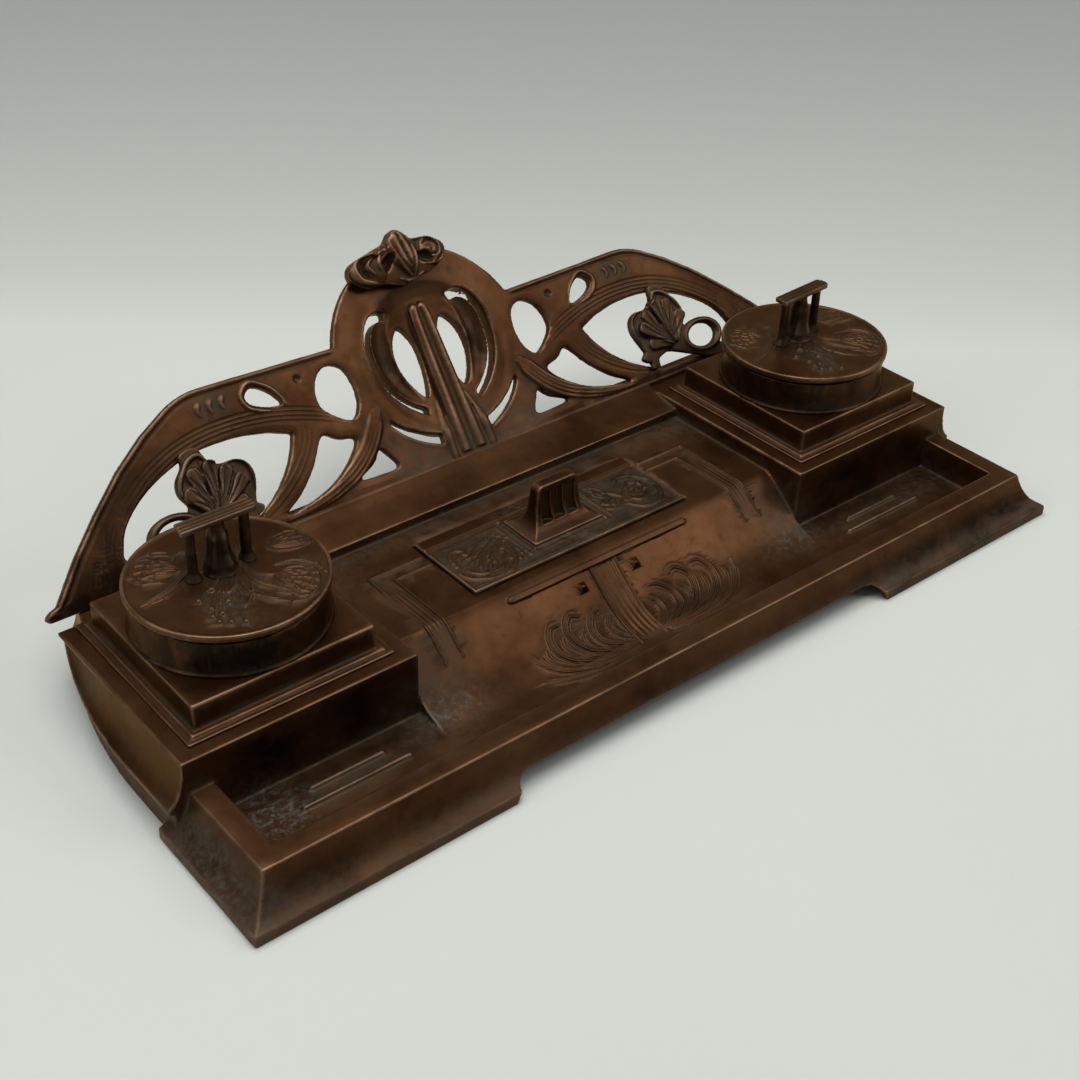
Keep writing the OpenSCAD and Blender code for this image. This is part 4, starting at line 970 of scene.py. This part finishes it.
NIB_STROKES = [
    # Left flower
    ([(-48, -3), (-46.4, 4), (-42.4, 6.4), (-39, 3.6)], 1.7, 0.9),
    ([(-50, -5), (-47.6, -11.6), (-41, -15.6), (-33.4, -15.8), (-27.6, -12), (-24, -4)], 1.9,
     1.0),
    ([(-46.5, -5.5), (-43, -11), (-36, -12.6), (-30.4, -9.4)], 1.3, 0.7),
    ([(-41, -10), (-38, -4), (-31, 1.4), (-25, 4.4)], 1.3, 0.7),
    ([(-37.6, -11), (-34.6, -5.6), (-29, -1), (-24, 1.6)], 1.2, 0.6),
    ([(-42.6, -6), (-38.6, 0.4), (-32, 4.6), (-25, 6.4)], 1.3, 0.6),
    ([(-44.4, 0.6), (-41.4, 3), (-39.6, 0.6), (-42, -1.4)], 1.2, 0.6),
    ([(-33.4, -12.6), (-30.4, -8), (-26, -4.4)], 1.1, 0.5),
    # Right flower
    ([(19.6, 2), (24, 4.6), (29.4, 2), (33.2, -4)], 1.7, 0.8),
    ([(30.6, -7.6), (34.6, -13.2), (40, -14.6), (46.4, -10.8), (49.4, -2.6), (46.6, 5),
      (42.4, 8)], 2.0, 1.1),
    ([(33.6, -4), (37.4, -9.2), (43.4, -7), (44.6, -0.6), (40.4, 3.2)], 1.7, 0.9),
    ([(20.4, -2), (22.4, -6.6), (27, -8.4), (31.4, -5)], 1.3, 0.6),
    ([(36.4, -2), (39, -5.6), (41.4, -3.4), (39.6, 0)], 1.2, 0.6),
    ([(34, 5.6), (38.4, 8), (44, 8.6)], 1.2, 0.5),
]


NIB_PETALS = [((-37.0, -4.5), (12.0, 9.0), math.radians(25), 9),
              ((40.0, -3.0), (9.5, 9.0), math.radians(200), 8),
              ((25.5, 4.0), (6.5, 3.6), math.radians(-60), 4)]
# Dotted disc, and how many beads lie on it and in the left panel
DISC_AT, DISC_R, DISC_BEADS, PANEL_BEADS, BEAD_R = (25.2, -4), 3.4, 26, 40, 0.55
# Frame lines of the grip's panel and of the plain bands: start, end and height
NIB_FRAME = [((-20.6, -12.5), (20.6, -12.5), 0.55), ((-51, 13.2), (51, 13.2), 0.3),
             ((-51, -16.6), (51, -16.6), 0.35)]
NIB_FRAME += [((at, -12.5), (at, 9.5), 0.55) for at in (-20.6, -17.6, 17.6, 20.6)]


def build_nib_lid():
    piece = Cast("nib_lid", 0.42, smooth=2, body="nib_cover")
    normal = piece.normals()
    u = piece.co[:, 0]
    v = piece.co[:, 1] - NIB_MIDDLE_Y
    face = (normal[:, 2] > 0.7) & (piece.co[:, 2] > NIB_HIGH[2] - 1)
    h = raised(u, v, NIB_STROKES)
    for middle, radii, way, count in NIB_PETALS:
        for line in petal_lines(middle, radii, way, count):
            h = np.maximum(h, stroke(u, v, line, PETAL_LINE_W, NIB_PETAL_H))
    h = np.maximum(h, bump(np.hypot(u - DISC_AT[0], v - DISC_AT[1]), DISC_R, 0.5))
    rng = np.random.default_rng(5)
    # Small beads on the dotted disc and in the ground of the left panel
    for _ in range(DISC_BEADS):
        angle, r = rng.uniform(0, 2 * math.pi), 3.0 * math.sqrt(rng.uniform())
        h = np.maximum(h, bump(np.hypot(u - DISC_AT[0] - r * math.cos(angle),
                                        v - DISC_AT[1] - r * math.sin(angle)), BEAD_R, 0.95))
    for _ in range(PANEL_BEADS):
        bu, bv = rng.uniform(-28, -21.5), rng.uniform(-13, 8)
        h = np.maximum(h, bump(np.hypot(u - bu, v - bv), BEAD_R, 0.5))
    for start, end, height in NIB_FRAME:
        h = np.maximum(h, stroke(u, v, [start, end], 0.9, height, (0, 0)))
    piece.ornament(np.maximum(h * face, 0), 0.9)
    piece.co[:, 2] += h * face
    piece.co = piece.spread(piece.co, 1)

    def green(co):
        """Film on all but the plain band at the back."""
        return 0.9 * (co[:, 1] < NIB_MIDDLE_Y + 10.5) * (co[:, 2] > NIB_HIGH[2] - 1)

    def darkening(co):
        """The right panel is darker than the left one."""
        band = ease(co[:, 1], NIB_MIDDLE_Y + 9, NIB_MIDDLE_Y + 12)
        return 0.6 * ease(co[:, 0], 19, 26) * (1 - band)

    piece.finish(BRONZE, faces=50000, unevenness=0.03, seed=71, green=green, darkening=darkening,
                 bloom=lambda co: 0.35 * ridge(co[:, 0], -2, 18) * (co[:, 2] > 24))


def build_knob():
    piece = Cast("nib_knob", 0.3, smooth=3, slot="dark_bronze", body="nib_cover")
    piece.finish(BRONZE, faces=18000, unevenness=0.06, seed=81,
                 green=lambda co: 0.4 * (1 - ease(co[:, 2], NIB_HIGH[2] + 1, NIB_HIGH[2] + 5)))


# Plinths, collars and the rest

# Painted shade over each collar, darker on the left
COLLAR_SHADE = {"left": 0.85, "right": 0.6}
KEPT_NODES = {"nib_well": BRASS, "lid_rivets_left": BRASS, "lid_rivets_right": BRASS,
              "gallery_screws": STEEL, "plinth_screws": STEEL, "nib_knob_screw": STEEL,
              "liner_left": GLASS, "liner_right": GLASS}
SOFT_EDGE, SOFT_ANGLE = 0.12 * MM, math.radians(40)


def build_plain():
    for side, collar_shade in COLLAR_SHADE.items():
        plinth = Cast("plinth_" + side, 0.6, smooth=1)
        plinth.finish(BRONZE, faces=20000, seed=91)
        collar = Cast("collar_" + side, 0.5, smooth=1)
        collar.finish(BRONZE, faces=18000, seed=95, wear_and_highlight=0.35,
                      darkening=evenly(collar_shade))
    for name, material in KEPT_NODES.items():
        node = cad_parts[name]
        for slot in node.material_slots:
            slot.material = material
        if not node.material_slots:
            node.data.materials.append(material)
        soft = node.modifiers.new("soft_edges", "BEVEL")
        soft.width, soft.segments = SOFT_EDGE, 2
        soft.limit_method, soft.angle_limit = "ANGLE", SOFT_ANGLE


# Camera, light and floor

# Solved from the photograph's square corners and round lids
CAMERA_AT = Vector((-0.33700, -0.395317, 0.368452))
LOOK_AT = Vector((-0.002172, -0.001578, 0.013602))
CAMERA_ROLL = 0.029448
LENS_MM, SENSOR_MM = 53.907, 36.0
FLOOR_COLOUR = (0.580, 0.604, 0.570, 1)
WALL_SHADE_COLOUR = (0.285, 0.300, 0.281, 1)
# The floor curves up behind the object, square to this direction, and is painted darker there, as
# painted shade on the wall
AHEAD_ANGLE = math.radians(40)
AHEAD = (math.sin(AHEAD_ANGLE), math.cos(AHEAD_ANGLE), 0)
DARKEN_FROM, DARKEN_TO = 0.19, 0.46
FLOOR_FRONT, FLOOR_REACH, FLOOR_HALF = -2.2, 0.24, 2.6
COVE_R, COVE_STEPS, WALL_HEIGHT = 0.22, 16, 0.95
WORLD_COLOUR, WORLD_STRENGTH = (0.92, 0.97, 1.0, 1), 0.17
# Name, place, aim, size, watts and colour
LIGHTS = [("overhead", (-0.10, 0.05, 1.30), (0, 0.02, 0), (1.3, 1.0), 15.6, (1.0, 0.99, 0.97)),
          ("window", (-1.35, 0.15, 0.95), (0, 0, 0.02), (0.9, 0.8), 5, (0.97, 0.99, 1.0)),
          ("front", (0.82, -0.72, 1.00), (0.03, 0.08, 0.08), (0.9, 0.6), 5.5, (1.0, 0.98, 0.95))]


def build_camera():
    data = bpy.data.cameras.new("camera")
    data.lens, data.sensor_width, data.sensor_fit = LENS_MM, SENSOR_MM, "HORIZONTAL"
    data.clip_start, data.clip_end = 0.01, 20
    camera = bpy.data.objects.new("camera", data)
    bpy.context.scene.collection.objects.link(camera)
    ahead = (LOOK_AT - CAMERA_AT).normalized()
    right = ahead.cross(Vector((0, 0, 1))).normalized()
    up = right.cross(ahead)
    c, s = math.cos(CAMERA_ROLL), math.sin(CAMERA_ROLL)
    rolled_right, rolled_up = c * right + s * up, c * up - s * right
    turn = Matrix((rolled_right, rolled_up, -ahead)).transposed()
    camera.matrix_world = Matrix.Translation(CAMERA_AT) @ turn.to_4x4()
    bpy.context.scene.camera = camera


def area_light(name, at, aim, size, power, colour):
    data = bpy.data.lights.new(name, "AREA")
    data.shape, data.size, data.size_y = "RECTANGLE", size[0], size[1]
    data.energy, data.color = power, colour
    light = bpy.data.objects.new(name, data)
    bpy.context.scene.collection.objects.link(light)
    light.location = at
    light.rotation_euler = (Vector(aim) - Vector(at)).to_track_quat("-Z", "Y").to_euler()


def build_stage():
    profile = [(FLOOR_FRONT, 0.0), (FLOOR_REACH, 0.0)]
    for k in range(1, COVE_STEPS + 1):
        a = math.pi / 2 * k / COVE_STEPS
        profile.append((FLOOR_REACH + COVE_R * math.sin(a), COVE_R * (1 - math.cos(a))))
    profile.append((FLOOR_REACH + COVE_R, WALL_HEIGHT))
    turn = Matrix.Rotation(-AHEAD_ANGLE, 4, "Z")
    work = bmesh.new()
    rows = [[work.verts.new(turn @ Vector((x, y, z))) for x in (-FLOOR_HALF, FLOOR_HALF)]
            for y, z in profile]
    for low, high in zip(rows[:-1], rows[1:]):
        work.faces.new((low[0], low[1], high[1], high[0]))
    mesh = bpy.data.meshes.new("floor")
    work.to_mesh(mesh)
    work.free()
    mesh.polygons.foreach_set("use_smooth", np.ones(len(mesh.polygons), bool))
    floor = bpy.data.objects.new("floor", mesh)
    bpy.context.scene.collection.objects.link(floor)
    s = Shader("pale_floor")
    tint = s.mix(s.ramp(s.noise(420, 2), 0.3, 0.7), FLOOR_COLOUR,
                 tuple(0.97 * c for c in FLOOR_COLOUR[:3]) + (1,))
    behind = s.add("ShaderNodeVectorMath", {0: s.where, 1: AHEAD},
                   operation="DOT_PRODUCT").outputs["Value"]
    # Painted shade: darker towards the wall and up it
    tint = s.mix(s.ramp(behind, DARKEN_FROM, DARKEN_TO), tint, WALL_SHADE_COLOUR)
    floor.data.materials.append(s.close(Base_Color=tint, Roughness=0.85))

    world = bpy.data.worlds.new("studio")
    world.use_nodes = True
    back = world.node_tree.nodes["Background"]
    back.inputs["Color"].default_value = WORLD_COLOUR
    back.inputs["Strength"].default_value = WORLD_STRENGTH
    bpy.context.scene.world = world
    for light in LIGHTS:
        area_light(*light)
    bpy.context.scene.view_settings.view_transform = "Standard"


build_camera()
build_stage()
build_base()
build_gallery()
build_crest_boss()
for lid_side in ("left", "right"):
    build_blossom(lid_side)
    build_lid(lid_side)
    build_handle(lid_side)
build_nib_lid()
build_knob()
build_plain()
